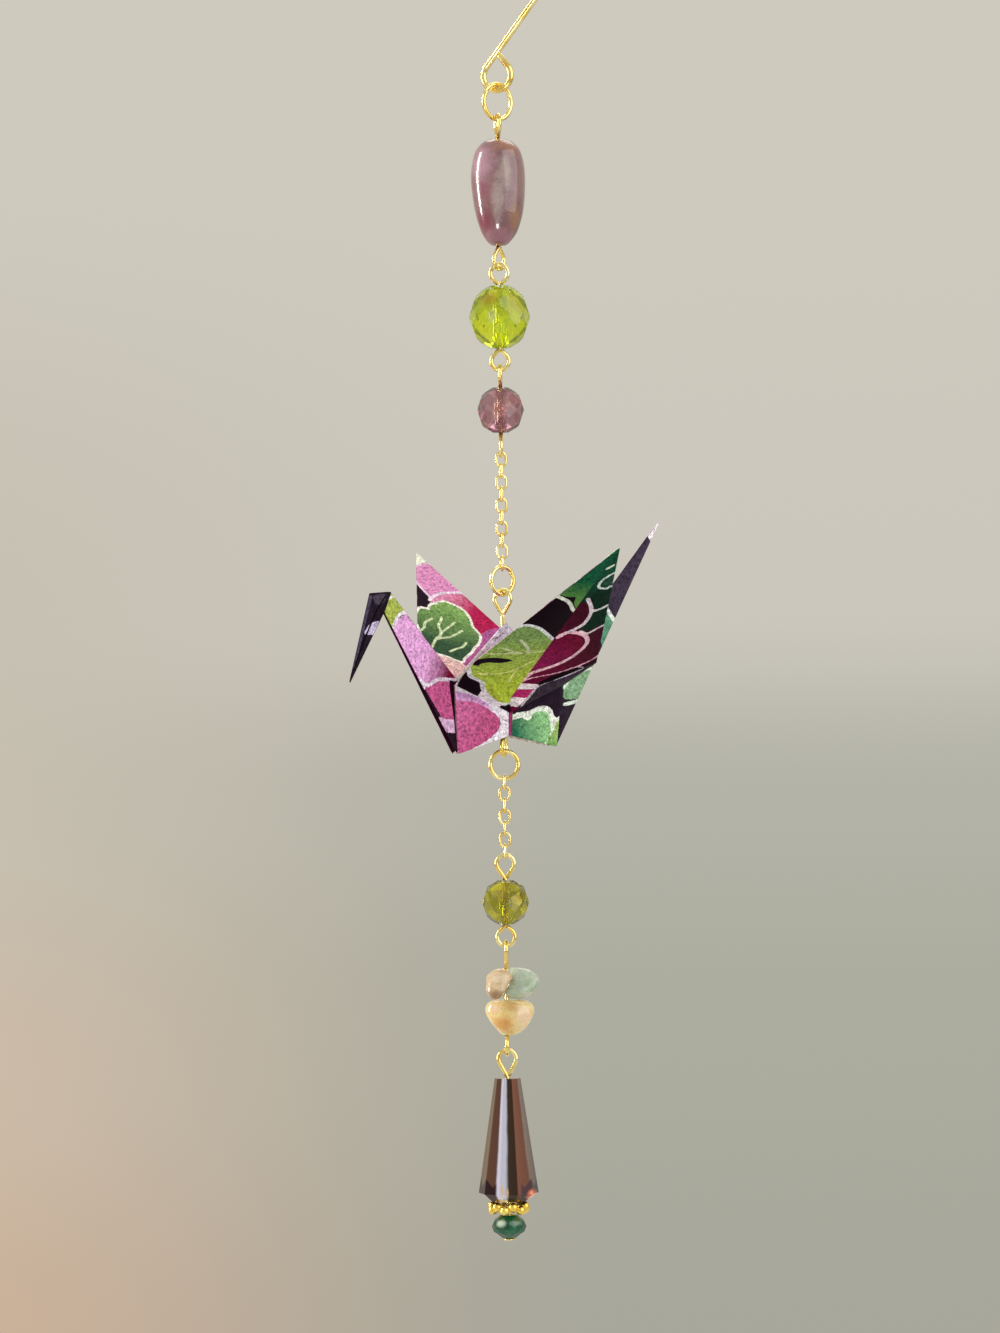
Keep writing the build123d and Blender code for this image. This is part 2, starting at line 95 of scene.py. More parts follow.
def quads(rows, columns, close_rows=False, close_columns=True):
    """Faces of a grid of points that run row by row, each row joined to the next."""
    index = np.arange(rows * columns).reshape(rows, columns)
    if close_rows:
        index = np.vstack([index, index[:1]])
    if close_columns:
        index = np.hstack([index, index[:, :1]])
    corners = (index[:-1, :-1], index[:-1, 1:], index[1:, 1:], index[1:, :-1])
    return np.stack([corner.ravel() for corner in corners], 1).tolist()


def lids(rows, columns):
    """Faces that close the first and last rows of a grid."""
    last = (rows - 1) * columns
    return [list(range(columns))[::-1], list(range(last, last + columns))]


def about_axis(reach, height, columns):
    """Points about the strand's axis: rows of this reach and height, each in this many columns."""
    around = np.linspace(0, 2 * pi, columns, endpoint=False)
    level = height + 0 * around
    return np.stack([reach * np.cos(around), reach * np.sin(around), level], 2).reshape(-1, 3)


def heading(turn):
    """The level direction at this many degrees about the strand."""
    return np.array([cos(radians(turn)), sin(radians(turn)), 0.0])


def top_and_foot(node):
    """Heights of a node's highest and lowest points."""
    low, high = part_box(node)
    return high[2] / MM, low[2] / MM


# Wire: every piece is a round section carried along a centre line

def spaced(line):
    """The same line with its points an even step apart."""
    line = np.asarray(line, float)
    run = np.concatenate([[0], np.cumsum(np.linalg.norm(np.diff(line, axis=0), axis=1))])
    marks = np.linspace(0, run[-1], max(8, int(run[-1] / STEP)))
    return np.stack([np.interp(marks, run, line[:, axis]) for axis in range(line.shape[1])], 1)


def eased(line, reach):
    """The line with each point averaged over a short reach of its neighbours, so its corners turn round."""
    count = max(1, int(reach / STEP)) | 1
    padded = np.pad(line, ((count // 2, count // 2), (0, 0)), mode="edge")
    weights = np.ones(count) / count
    return np.stack([np.convolve(padded[:, axis], weights, "valid") for axis in range(line.shape[1])], 1)


def tube(line, side, radius, closed=False):
    """A circle of the given radius at each point of the line, in the flat across it:
    point = line + radius (cos a side' + sin a (way x side')), where side' is side made square to the way."""
    if closed:
        way = np.roll(line, -1, 0) - np.roll(line, 1, 0)
    else:
        way = np.gradient(line, axis=0)
    way /= np.linalg.norm(way, axis=1, keepdims=True)
    side = np.broadcast_to(side, line.shape)
    side = side - way * np.sum(side * way, 1, keepdims=True)
    side = side / np.linalg.norm(side, axis=1, keepdims=True)
    other = np.cross(way, side)
    sizes = np.full(len(line), radius)
    if not closed:
        past = END_PLACES * radius
        line = np.vstack([line[0] - np.outer(past, way[0]), line, line[-1] + np.outer(past[::-1], way[-1])])
        side, other = (np.vstack([rows[[0, 0]], rows, rows[[-1, -1]]]) for rows in (side, other))
        sizes = np.concatenate([END_SIZES * radius, sizes, END_SIZES[::-1] * radius])
    angle = np.linspace(0, 2 * pi, SPOKES, endpoint=False)[None, :, None]
    ring = np.cos(angle) * side[:, None] + np.sin(angle) * other[:, None]
    grid = line[:, None] + sizes[:, None, None] * ring
    faces = quads(len(line), SPOKES, close_rows=closed)
    if not closed:
        faces += lids(len(line), SPOKES)
    return grid.reshape(-1, 3), faces


def joined(shells):
    """Several shells as one list of points and one of faces."""
    points = []
    faces = []
    first = 0
    for shell_points, shell_faces in shells:
        points.append(shell_points)
        faces += [[corner + first for corner in face] for face in shell_faces]
        first += len(shell_points)
    return np.vstack(points), faces


def in_flat(line, height, turn, upright=1):
    """A centre line drawn in a wire piece's own flat, set upright at its turn: x across, y along."""
    across = np.outer(line[:, 0], heading(turn))
    along = np.outer(line[:, 1], (0, 0, upright))
    return across + along + np.array([0, 0, height])


def teardrop(height):
    """Centre line of a pin's loop, from the wire's cut end near the bead's mouth at (0, 0), up a straight
    leg that touches the round crown, round it, and down the other leg to the mouth."""
    bow = (LOOP_OUTER - PIN_WIRE) / 2
    centre = height - PIN_WIRE / 2 - bow
    leg = sqrt(centre**2 - bow**2)
    start = -atan(bow / leg)
    angle = np.linspace(start, pi - start, 60)
    crown = np.stack([bow * np.cos(angle), centre + bow * np.sin(angle)], 1)
    return np.vstack([crown[0] * (LOOP_END_BACK / leg), crown, (0, 0)])


def pin_line(upper_mouth, lower_mouth, turns, heights):
    """Centre line of a whole eye pin and the side vector of each point: loop, straight shaft, loop.
    The side vector turns from one loop's flat to the other's along the shaft."""
    upper = in_flat(teardrop(heights[0]), upper_mouth, turns[0])
    lower = in_flat(teardrop(heights[1]), lower_mouth, turns[1], -1)[::-1]
    line = eased(spaced(np.vstack([upper, lower])), PIN_EASE)
    share = np.clip((upper_mouth - line[:, 2]) / (upper_mouth - lower_mouth), 0, 1)
    change = (turns[1] - turns[0] + 90) % 180 - 90
    angle = np.radians(turns[0] + 90 + change * share)
    return line, np.stack([np.cos(angle), np.sin(angle), 0 * angle], 1)


def ring_line(outer, wire, slit_angle, offset):
    """Centre line of a jump ring: one turn less a slit, its two ends a little out of the ring's flat."""
    radius = (outer - wire) / 2
    gap = RING_SLIT / radius
    angle = radians(slit_angle) + np.linspace(gap / 2, 2 * pi - gap / 2, 120)
    lean = offset * np.linspace(-1, 1, len(angle)) ** 11
    return np.stack([radius * np.cos(angle), radius * np.sin(angle)], 1), lean


def link_line(height, width):
    """Centre line of an oval link: two half circles joined by straight sides."""
    bow = (width - LINK_WIRE) / 2
    straight = (height - LINK_WIRE) / 2 - bow
    half = np.linspace(0, pi, 16)
    upper = np.stack([bow * np.cos(half), straight + bow * np.sin(half)], 1)
    return np.vstack([upper, -upper])


# Finishes

class Nodes:
    """A node tree, with short ways to add nodes to it and to feed their sockets."""

    def __init__(self, tree):
        self.tree = tree

    def feed(self, socket, source):
        if isinstance(source, bpy.types.NodeSocket):
            self.tree.links.new(source, socket)
        else:
            socket.default_value = source

    def add(self, kind, *sources, settings=None, **sockets):
        """A node. The sources feed its first sockets in turn, and the others feed the sockets they name."""
        made = self.tree.nodes.new("ShaderNode" + kind)
        for key, value in (settings or {}).items():
            setattr(made, key, value)
        for number, source in enumerate(sources):
            self.feed(made.inputs[number], source)
        for name, source in sockets.items():
            self.feed(made.inputs[name.replace("_", " ")], source)
        return made

    def sum(self, operation, first, second=0.0):
        """One step of arithmetic, of the kind that the operation names."""
        return self.add("Math", first, second, settings={"operation": operation}).outputs[0]

    def spread(self, value, low, high, to_low=0.0, to_high=1.0, **settings):
        """The value, with the range from low to high carried to the other range."""
        ends = {"From_Min": low, "From_Max": high, "To_Min": to_low, "To_Max": to_high}
        return self.add("MapRange", settings=settings, Value=value, **ends).outputs["Result"]

    def step(self, value, low, high):
        """0 below low and 1 above high, eased between them. Low may be the greater."""
        ends = (0.0, 1.0) if low < high else (1.0, 0.0)
        return self.spread(value, min(low, high), max(low, high), *ends, interpolation_type="SMOOTHSTEP")

    def blend(self, share, first, second, kind="MIX"):
        """This share of the second colour over the first."""
        made = self.add("Mix", share, settings={"data_type": "RGBA", "blend_type": kind})
        self.feed(made.inputs[6], first)
        self.feed(made.inputs[7], second)
        return made.outputs[2]

    def ramp(self, share, marks, ease="LINEAR"):
        """Colours at places from 0 to 1, and changes between them."""
        made = self.add("ValToRGB", share)
        made.color_ramp.interpolation = ease
        stops = made.color_ramp.elements
        while len(stops) < len(marks):
            stops.new(0.5)
        for stop, (where, colour) in zip(stops, marks):
            stop.position = where
            stop.color = shade(*colour)
        return made.outputs["Color"]


class Finish(Nodes):
    """A material with its shader, and patterns on the object's own coordinates."""

    def __init__(self, name, **sockets):
        self.material = bpy.data.materials.new(name)
        self.material.use_nodes = True
        super().__init__(self.material.node_tree)
        self.shader = self.tree.nodes["Principled BSDF"]
        for socket, value in sockets.items():
            self.shader.inputs[socket.replace("_", " ")].default_value = value
        self.place = self.add("TexCoord").outputs["Object"]

    def noise(self, scale, detail=3.0, rough=0.5, distort=0.0):
        ends = {"Scale": scale, "Detail": detail, "Roughness": rough, "Distortion": distort}
        return self.add("TexNoise", Vector=self.place, **ends).outputs["Fac"]

    def spot(self, centre, size):
        """How far off this place (mm) is, in half sizes (mm): 0 there and 1 on the ellipsoid."""
        away = self.place
        for operation, value in (("SUBTRACT", centre), ("DIVIDE", size)):
            value = tuple(part * MM for part in value)
            away = self.add("VectorMath", away, value, settings={"operation": operation}).outputs[0]
        return self.add("VectorMath", away, settings={"operation": "LENGTH"}).outputs["Value"]

    def grained(self, colour, grain, *ends):
        """The colour made darker and lighter by a grain, whose range the ends give and carry over."""
        return self.blend(1.0, colour, self.spread(grain, *ends), "MULTIPLY")

    def bump(self, height, strength, distance):
        made = self.add("Bump", Strength=strength, Distance=distance, Height=height)
        self.feed(self.shader.inputs["Normal"], made.outputs["Normal"])

    def painted(self, colour):
        """The material, with this as its colour."""
        self.feed(self.shader.inputs["Base Color"], colour)
        return self.material


def shade(red, green, blue):
    """A colour as it is seen, 0 to 255 each way, in the linear values that a shader takes."""
    seen = np.array([red, green, blue]) / 255
    linear = np.where(seen <= 0.04045, seen / 12.92, ((seen + 0.055) / 1.055) ** 2.4)
    return (float(linear[0]), float(linear[1]), float(linear[2]), 1.0)


def gold(name, pale, deep, rough):
    """Bright plated gold: its colour drifts between two golds, and a fine wear makes its polish uneven."""
    finish = Finish(name, Metallic=1.0, Roughness=rough)
    worn = finish.noise(2600.0)
    finish.feed(finish.shader.inputs["Roughness"], finish.spread(worn, 0.0, 1.0, rough * 0.8, rough * 1.5))
    finish.bump(worn, 0.03, 0.00001)
    return finish.painted(finish.blend(finish.step(finish.noise(420.0), 0.35, 0.65), deep, pale))


wire_gold = gold("bright_gold_wire", shade(254, 240, 174), shade(240, 209, 118), 0.16)
cast_gold = gold("cast_gold", shade(255, 234, 132), shade(246, 208, 92), 0.26)


# The strand's wire pieces

def wire(node, points, faces):
    """A piece of gold wire in place of a node of the same name."""
    put(f"{node}_wire", node, [node], "gold_wire", wire_gold, points, faces)


# Each eye pin: the turns of its upper and lower loops in degrees, and their heights
PINS = {
    "stone_pin": ((102, 56), (3.6, 3.45)),
    "green_pin": ((-8, 0), (3.16, 3.25)),
    "mauve_pin": ((90, 90), (3.28, 3.43)),
    "crane_pin": ((-26, 75), (3.85, 2.95)),
    "olive_pin": ((0, 0), (3.7, 3.2)),
    "chip_pin": ((90, 90), (3.95, 2.9)),
}
for pin, (turns, heights) in PINS.items():
    top, foot = top_and_foot(pin)
    line, side = pin_line(top - heights[0], foot + heights[1], turns, heights)
    wire(pin, *tube(line, side, PIN_WIRE / 2))

# The drop's pin ends in a small flat head with a rounded rim, given as shares of its radius and thickness
HEAD_RADIUS = 0.8
HEAD_THICK = 0.3
HEAD_SPOKES = 28
DROP_LOOP = 4.1
HEAD_RIM = np.array([(0.3, 1.0), (0.85, 1.0), (0.97, 0.86), (1.0, 0.6), (0.97, 0.3), (0.8, 0.08), (0.4, 0.0)])
top, foot = top_and_foot("drop_pin")
upper = in_flat(teardrop(DROP_LOOP), top - DROP_LOOP, 0)
line = eased(spaced(np.vstack([upper, (0, 0, foot + HEAD_THICK / 2)])), PIN_EASE)
head = about_axis(HEAD_RIM[:, :1] * HEAD_RADIUS, foot + HEAD_THICK * HEAD_RIM[:, 1:], HEAD_SPOKES)
head_faces = quads(len(HEAD_RIM), HEAD_SPOKES) + lids(len(HEAD_RIM), HEAD_SPOKES)
head_shell = (head, [face[::-1] for face in head_faces])
wire("drop_pin", *joined([tube(line, (0, 1, 0), PIN_WIRE / 2), head_shell]))

# Each jump ring: outer size, wire, turn, the slit's angle, and how far each end stands out of its flat
RINGS = {
    "top_ring": (5.55, TOP_RING_WIRE, 40, 146, 0.2),
    "upper_ring": (4.48, RING_WIRE, 38, 40, 0.06),
    "lower_ring": (4.48, RING_WIRE, 0, 12, 0.05),
}
for ring, (outer, thick, turn, slit_angle, offset) in RINGS.items():
    flat_line, lean = ring_line(outer, thick, slit_angle, offset)
    line = in_flat(flat_line, sum(top_and_foot(ring)) / 2, turn) + np.outer(lean, heading(turn + 90))
    wire(ring, *tube(line, heading(turn + 90), thick / 2))

# Each chain: how many links it has and the turn of its first. Every second link stands square to that
CHAINS = {"upper": (10, 10), "lower": (7, 90)}
for chain, (count, first_turn) in CHAINS.items():
    for number in range(count):
        link = f"{chain}_link_{number + 1:02d}"
        turn = first_turn + 90 * (number % 2)
        width = RING_LINK_WIDTH if link == RING_LINK else LINK_WIDTH
        top, foot = top_and_foot(link)
        line = in_flat(link_line(top - foot, width), (top + foot) / 2, turn)
        wire(link, *tube(line, heading(turn + 90), LINK_WIRE / 2, closed=True))

# The hook: a bend over the peg, a leaning leg and a loop that closes behind the leg
BEND_INNER = 7.5
HOOK_LOOP = 2.03
HOOK_LEAN = radians(39.1)
HOOK_TURN = -22
HOOK_MOUTH = radians(205)
HOOK_TIP_GAP = 0.05
bend = BEND_INNER + HOOK_WIRE / 2
loop_centre = -BEND_INNER - (bend + HOOK_LOOP) / sin(HOOK_LEAN)
over = np.linspace(HOOK_MOUTH, -HOOK_LEAN, 90)
around = np.linspace(pi - HOOK_LEAN, 2 * pi + HOOK_LEAN, 60)
apex = loop_centre + HOOK_LOOP / sin(HOOK_LEAN)
tip_back = (HOOK_WIRE * (1 + cos(2 * HOOK_LEAN)) / 2 + HOOK_TIP_GAP) / sin(2 * HOOK_LEAN)
hook_line = np.vstack(
    [
        np.stack([bend * np.cos(over), bend * np.sin(over) - BEND_INNER], 1),
        np.stack([HOOK_LOOP * np.cos(around), loop_centre + HOOK_LOOP * np.sin(around)], 1),
        (tip_back * sin(HOOK_LEAN), apex - tip_back * cos(HOOK_LEAN)),
    ]
)
line = in_flat(eased(spaced(hook_line), HOOK_EASE), 0, HOOK_TURN)
wire("hook", *tube(line, heading(HOOK_TURN + 90), HOOK_WIRE / 2))


# Stones: a stack of ovals on smooth curves. Rows give the share of the length, half sizes and shifts

BODY = {node: body for body, nodes in frame["record"]["behaviour"]["bodies"].items() for node in nodes}
BORE = 0.45

# How far a ray is followed out of the bore, and how often that span is halved to find the stone's face
STONE_REACH = 14.0
HALVINGS = 26

STONE = [
    (0, 1.14, 0.96, 0, 0),
    (0.03, 2.128, 1.792, 0, 0),
    (0.12, 3.192, 2.688, 0, 0),
    (0.34, 3.8, 3.2, 0, 0),
    (0.62, 3.534, 3.04, 0.076, 0),
    (0.86, 2.584, 2.368, 0.076, 0),
    (0.97, 1.52, 1.44, 0, 0),
    (1, 0.912, 0.832, 0, 0),
]
TAN = [
    (0, 0.45, 0.45, -0.75, -0.35),
    (0.05, 0.95, 0.85, -0.85, -0.35),
    (0.25, 1.8, 1.4, -0.95, -0.25),
    (0.48, 1.6, 1.25, -1.25, -0.95),
    (0.72, 1.35, 1.15, -1.5, -1.55),
    (0.93, 0.8, 0.75, -1.6, -1.6),
    (1, 0.45, 0.45, -1.6, -1.55),
]
GREEN = [
    (0, 0.8, 0.45, 1.3, 1.15),
    (0.06, 1.35, 0.7, 1.75, 1.15),
    (0.25, 2.0, 0.95, 2.3, 1.15),
    (0.48, 2.15, 1.15, 2.47, 0.85),
    (0.72, 2.4, 1.3, 1.6, 0.4),
    (0.93, 1.75, 1.0, 1.3, 0.3),
    (1, 1.2, 0.75, 1.2, 0.25),
]
PEACH = [
    (0, 1.5, 0.9, 0.3, 0),
    (0.04, 2.5, 1.5, 0.35, 0),
    (0.15, 3.25, 2.0, 0.4, 0),
    (0.35, 3.45, 2.2, 0.45, 0),
    (0.6, 2.9, 2.1, 0.5, 0),
    (0.85, 1.9, 1.5, 0.5, 0),
    (0.97, 1.15, 0.95, 0.35, 0),
    (1, 0.8, 0.7, 0.3, 0),
]


def oval_table(rows):
    """The oval at 401 even shares of a stone's length, by a cubic through the rows:
    size = a + (b - a) t^2 (3 - 2 t) + t (1 - t) (slope a (1 - t) - slope b t)."""
    rows = np.array(rows, float)
    shares = np.linspace(0, 1, 401)
    after = np.clip(np.searchsorted(rows[:, 0], shares), 1, len(rows) - 1)
    low, high = rows[after - 1], rows[after]
    first, last = rows[np.maximum(after - 2, 0)], rows[np.minimum(after + 1, len(rows) - 1)]
    span = (high - low)[:, :1]
    t = (shares[:, None] - low[:, :1]) / span
    start = (high - first) / (high - first)[:, :1] * span
    end = (last - low) / (last - low)[:, :1] * span
    return shares, low + (high - low) * t**2 * (3 - 2 * t) + t * (1 - t) * (start * (1 - t) - end * t)


def drilled_stone(node, rows, start_share, columns=112, bands=96):
    """A stone with its bore: point = c(a) + d (cos b e(a) + sin b z). c(a) is on the bore at the start
    height, e(a) points away from it, and d is where the ray leaves the oval of its height,
    x^2 / p^2 + y^2 / q^2 = 1. A slow wave draws d in by up to 2 in 100, and the bore's wall closes it."""
    top, foot = top_and_foot(node)
    shares, ovals = oval_table(rows)
    around = np.linspace(0, 2 * pi, columns, endpoint=False)
    rise = np.linspace(-pi / 2, pi / 2, bands)[:, None]
    start = top - start_share * (top - foot)
    near = np.zeros((bands, columns))
    far = np.full((bands, columns), STONE_REACH)
    for halving in range(HALVINGS):
        away = (near + far) / 2
        reach = BORE + away * np.cos(rise)
        share = (top - start - away * np.sin(rise)) / (top - foot)
        sizes = [np.interp(share, shares, ovals[:, column]) for column in range(1, 5)]
        half_x, half_y, shift_x, shift_y = sizes
        x = (reach * np.cos(around) - shift_x) / half_x
        y = (reach * np.sin(around) - shift_y) / half_y
        inside = (x**2 + y**2 < 1) & (share > 0) & (share < 1)
        near = np.where(inside, away, near)
        far = np.where(inside, far, away)
    wave = np.sin(2 * around + 1.3) * np.cos(3 * rise) + np.cos(3 * around) * np.sin(2 * rise + 0.7)
    away = near * (1 - 0.006 * (1.7 + wave) * np.cos(rise))
    reach = BORE + away * np.cos(rise)
    height = start + away * np.sin(rise)
    wall_share = np.array([0.006, 0.03, 0.5, 0.97, 0.994])[:, None]
    wall = height[-1] + (height[0] - height[-1]) * wall_share
    reach = np.vstack([reach, np.full(wall.shape, BORE)])
    height = np.vstack([height, wall])
    return about_axis(reach, height, columns), quads(len(height), columns, close_rows=True)


def patched(finish, colour, node, patches, waver=0.7, scale=700.0):
    """The colour with soft, uneven patches laid over it: each has its colour, its place (across, down from
    the top of the node, and deep) and its half sizes, in mm."""
    top = top_and_foot(node)[0]
    ragged = finish.sum("MULTIPLY", finish.sum("SUBTRACT", finish.noise(scale, 5.0, 0.65), 0.5), waver * 2.4)
    for patch_colour, (across, down, deep), size in patches:
        away = finish.sum("ADD", finish.spot((across, deep, top - down), size), ragged)
        colour = finish.blend(finish.step(away, 1.45, 0.25), colour, shade(*patch_colour))
    return colour


def mottled(finish, first, second, scale):
    """A drift between two colours at this scale."""
    drift = finish.noise(scale, 5.0, 0.62, 0.5)
    return finish.blend(finish.step(drift, 0.35, 0.65), shade(*first), shade(*second))


def stone(node, slot, rows, start_share, colours, scale, rough, patches, **sockets):
    """A tumbled stone: mottled and patched colour under a clear polish, with faint pits."""
    finish = Finish("tumbled_" + slot, Roughness=rough, Coat_Weight=1.0, Coat_Roughness=0.04, **sockets)
    colour = patched(finish, mottled(finish, *colours, scale), node, patches)
    finish.bump(finish.noise(1500.0), 0.1, 0.00006)
    material = finish.painted(finish.grained(colour, finish.noise(3200.0, 4.0, 0.65), 0.3, 0.7, 0.84, 1.12))
    put(f"{node}_body", BODY[node], [node], slot, material, *drilled_stone(node, rows, start_share))


stone("purple_stone", "purple_stone", STONE, 0.5, ((132, 92, 98), (114, 76, 82)), 300.0, 0.24, [
    ((164, 124, 136), (-2.4, 3.4, -2.4), (1.9, 2.6, 2.6)),
    ((152, 104, 82), (1.4, 1.0, -1.5), (2.6, 1.9, 1.3)),
    ((156, 134, 128), (0.9, 4.6, -3.2), (1.1, 0.9, 2.6)),
    ((162, 142, 140), (0.0, 8.6, -3.2), (1.0, 0.9, 3.2)),
    ((132, 72, 88), (-2.2, 7.4, -2.4), (0.8, 1.2, 1.2)),
    ((118, 50, 72), (-2.0, 11.6, -1.9), (1.2, 1.4, 2.0)),
    ((142, 104, 78), (2.2, 11.2, -1.9), (0.9, 1.2, 2.6)),
    ((132, 98, 94), (3.1, 6.0, -1.6), (0.8, 1.4, 3.6)),
    ((140, 88, 104), (0.2, 13.4, -1.6), (1.9, 1.4, 1.5)),
    ((162, 142, 140), (-1.0, 6.0, 3.0), (1.4, 0.9, 3.4)),
    ((152, 104, 82), (2.0, 10.0, 2.4), (1.4, 1.2, 2.2)),
])
stone("tan_chip", "tan_stone", TAN, 0.25, ((216, 192, 152), (194, 164, 122)), 900.0, 0.28, [
    ((158, 124, 88), (-1.4, 3.6, -2.2), (1.3, 1.2, 0.9)),
    ((222, 200, 170), (-1.5, 1.3, -1.6), (0.9, 0.8, 0.7)),
], Subsurface_Weight=0.15, Subsurface_Scale=0.0008)
stone("green_chip", "green_stone", GREEN, 0.74, ((214, 226, 204), (196, 212, 188)), 500.0, 0.14, [
    ((186, 202, 178), (1.4, 2.8, -0.6), (1.2, 1.0, 1.3)),
    ((168, 192, 158), (3.6, 2.6, -0.2), (1.1, 1.4, 1.2)),
], Subsurface_Weight=0.3, Subsurface_Scale=0.001, Transmission_Weight=0.25)
stone("peach_chip", "peach_stone", PEACH, 0.4, ((246, 222, 156), (236, 206, 132)), 600.0, 0.18, [
    ((226, 166, 82), (-0.6, 3.3, -1.6), (1.5, 1.4, 1.2)),
    ((242, 214, 178), (2.3, 2.4, -1.7), (1.2, 1.4, 1.6)),
    ((242, 210, 168), (-1.8, 1.3, -1.6), (1.1, 1.2, 0.8)),
    ((214, 176, 104), (0.6, 0.9, -1.8), (1.4, 1.0, 0.7)),
], Subsurface_Weight=0.3, Subsurface_Scale=0.001, Transmission_Weight=0.1)


# The spacer: twelve balls round a flat hub, in turn a little high and a little low

HUB_REACH = 2.3
HUB_HALF = 0.5
HUB_OUTER_ROUND = 0.1
HUB_INNER_ROUND = 0.12
HUB_SPOKES = 72
BALLS = 12
BALL_RADIUS = 0.68
BALL_REACH = 2.27
BALL_RISE = 0.22


def ball(centre, radius, columns=22, rows=13):
    """point = centre + radius (cos b cos a, cos b sin a, sin b)."""
    rise = np.radians(np.linspace(-88, 88, rows))[:, None]
    points = centre + radius * about_axis(np.cos(rise), np.sin(rise), columns)
    return points, quads(rows, columns) + lids(rows, columns)


middle = sum(top_and_foot("daisy_spacer")) / 2
corner = np.linspace(-pi / 2, pi / 2, 7)
outer_side = np.stack([HUB_REACH + HUB_OUTER_ROUND * np.cos(corner), middle + HUB_HALF * np.sin(corner)], 1)
inner_side = np.stack([BORE + HUB_INNER_ROUND * (1 - np.cos(corner)), middle - HUB_HALF * np.sin(corner)], 1)
hub = np.vstack([outer_side, inner_side])
shells = [(about_axis(hub[:, :1], hub[:, 1:], HUB_SPOKES), quads(len(hub), HUB_SPOKES, close_rows=True))]
for number in range(BALLS):
    height = middle + (BALL_RISE if number % 2 else -BALL_RISE)
    place = BALL_REACH * heading(360 / BALLS * number + 15) + np.array([0, 0, height])
    shells.append(ball(place, BALL_RADIUS))
put("daisy_spacer_balls", BODY["daisy_spacer"], ["daisy_spacer"], "gold_casting", cast_gold,
    *joined(shells))


# Glass: the solids keep their cut facets and get their finish here

def dress(node, material):
    """Gives a solid its finish."""
    cells = frame["nodes"][node].data.materials
    cells.clear()
    cells.append(material)


def glass(node, name, colours, deep, patches, facet=480.0, clear=0.85, rough=0.03):
    """Cut glass: a tint darkened towards its edges by painted shade, with patches of painted highlight and of
    other facets' colour painted as if seen through it.
    """
    finish = Finish(name, Roughness=rough, IOR=1.52, Transmission_Weight=clear, Coat_Weight=0.2,
                    Coat_Roughness=0.02)
    cells = finish.add("TexVoronoi", Vector=finish.place, Scale=facet)
    split = finish.add("SeparateColor", cells.outputs["Color"])
    colour = finish.blend(split.outputs["Red"], shade(*colours[0]), shade(*colours[1]))
    # The patches: painted highlights, and other facets' colour painted as if seen through the glass
    colour = patched(finish, colour, node, patches, 0.3)
    # Painted shade: the colour goes over to the deep colour where the faces turn edge-on, towards the glass's
    # edges
    edge = finish.add("LayerWeight", Blend=0.5).outputs["Facing"]
    dress(node, finish.painted(finish.blend(finish.step(edge, 0.3, 1.05), colour, shade(*deep))))


# Each bead: its two tints, the deep colour of its painted edge shade, and its patches of painted highlight
# and of other facets seen through it
glass("green_bead", "chartreuse_glass", ((240, 246, 24), (196, 220, 6)), (150, 184, 4), [
    ((214, 176, 30), (-1.6, 1.9, -3.0), (1.5, 1.5, 1.0)),
    ((236, 244, 214), (-1.0, 4.4, -3.8), (0.7, 0.8, 0.9)),
])
glass("mauve_bead", "mauve_glass", ((212, 164, 170), (158, 104, 122)), (92, 46, 64), [
    ((236, 196, 176), (-0.6, 3.4, -2.9), (0.6, 0.8, 1.6)),
])
glass("olive_bead", "olive_glass", ((236, 226, 30), (126, 130, 6)), (50, 54, 2), [
    ((206, 184, 84), (-1.0, 2.0, -2.6), (0.9, 1.0, 0.8)),
])
glass("rondelle", "emerald_glass", ((24, 112, 78), (6, 70, 46)), (2, 36, 24), [
    ((214, 232, 210), (-1.2, 0.95, -1.9), (0.7, 0.8, 0.55)),
    ((120, 150, 120), (1.3, 0.9, -1.9), (0.8, 0.8, 0.4)),
], 900.0, 0.25, 0.06)

# The drop's coated glass: strips of colour, one of them a painted highlight, placed by the share of a turn
# round it, painted highlights laid over them, and dark notches below
COATING_STRIPS_AND_HIGHLIGHT = [
    # The pale lilac strip from 0.432 to 0.482, just left of the front, is a painted highlight
    (0.0, (150, 140, 132)), (0.05, (92, 66, 70)), (0.1, (140, 120, 96)), (0.16, (78, 52, 60)),
    (0.22, (150, 104, 72)), (0.285, (120, 96, 70)), (0.33, (132, 106, 80)), (0.36, (100, 66, 52)),
    (0.42, (98, 64, 50)), (0.432, (226, 224, 252)), (0.482, (222, 224, 250)), (0.5, (66, 48, 34)),
    (0.54, (60, 42, 30)), (0.56, (86, 44, 22)), (0.63, (72, 38, 20)), (0.67, (118, 106, 96)),
    (0.74, (110, 78, 76)), (0.8, (176, 168, 190)), (0.86, (84, 58, 50)), (0.93, (146, 104, 74)),
]
# Painted highlights laid over the strips as patches: each bright flash's colour, place and half sizes
PAINTED_DROP_HIGHLIGHTS = [
    ((238, 132, 96), (3.2, 16.1, -1.6), (0.9, 1.6, 0.8)),
    ((246, 218, 178), (-0.9, 15.2, -3.8), (0.22, 0.9, 0.9)),
    ((240, 206, 160), (-0.2, 15.6, -3.8), (0.2, 0.9, 0.6)),
]
NOTCHES = 20.0
NOTCH_HEIGHT = 1.1 * MM
NOTCH_EDGE = 0.15 * MM
NOTCH_LEVEL = (top_and_foot("glass_drop")[1] + 2.1) * MM
NOTCH_FREE = (1.5 * MM, 2.0 * MM)
bronze = Finish("bronze_glass", Metallic=0.8, Roughness=0.14, Coat_Weight=0.25, Coat_Roughness=0.03)
x, y, z = bronze.add("SeparateXYZ", bronze.place).outputs
turn_share = bronze.sum("ARCTAN2", x, bronze.sum("MULTIPLY", y, -1.0))
turn_share = bronze.sum("ADD", bronze.sum("DIVIDE", turn_share, 2 * pi), 0.5)
waver = bronze.sum("MULTIPLY", bronze.sum("SUBTRACT", bronze.noise(260.0), 0.5), 0.02)
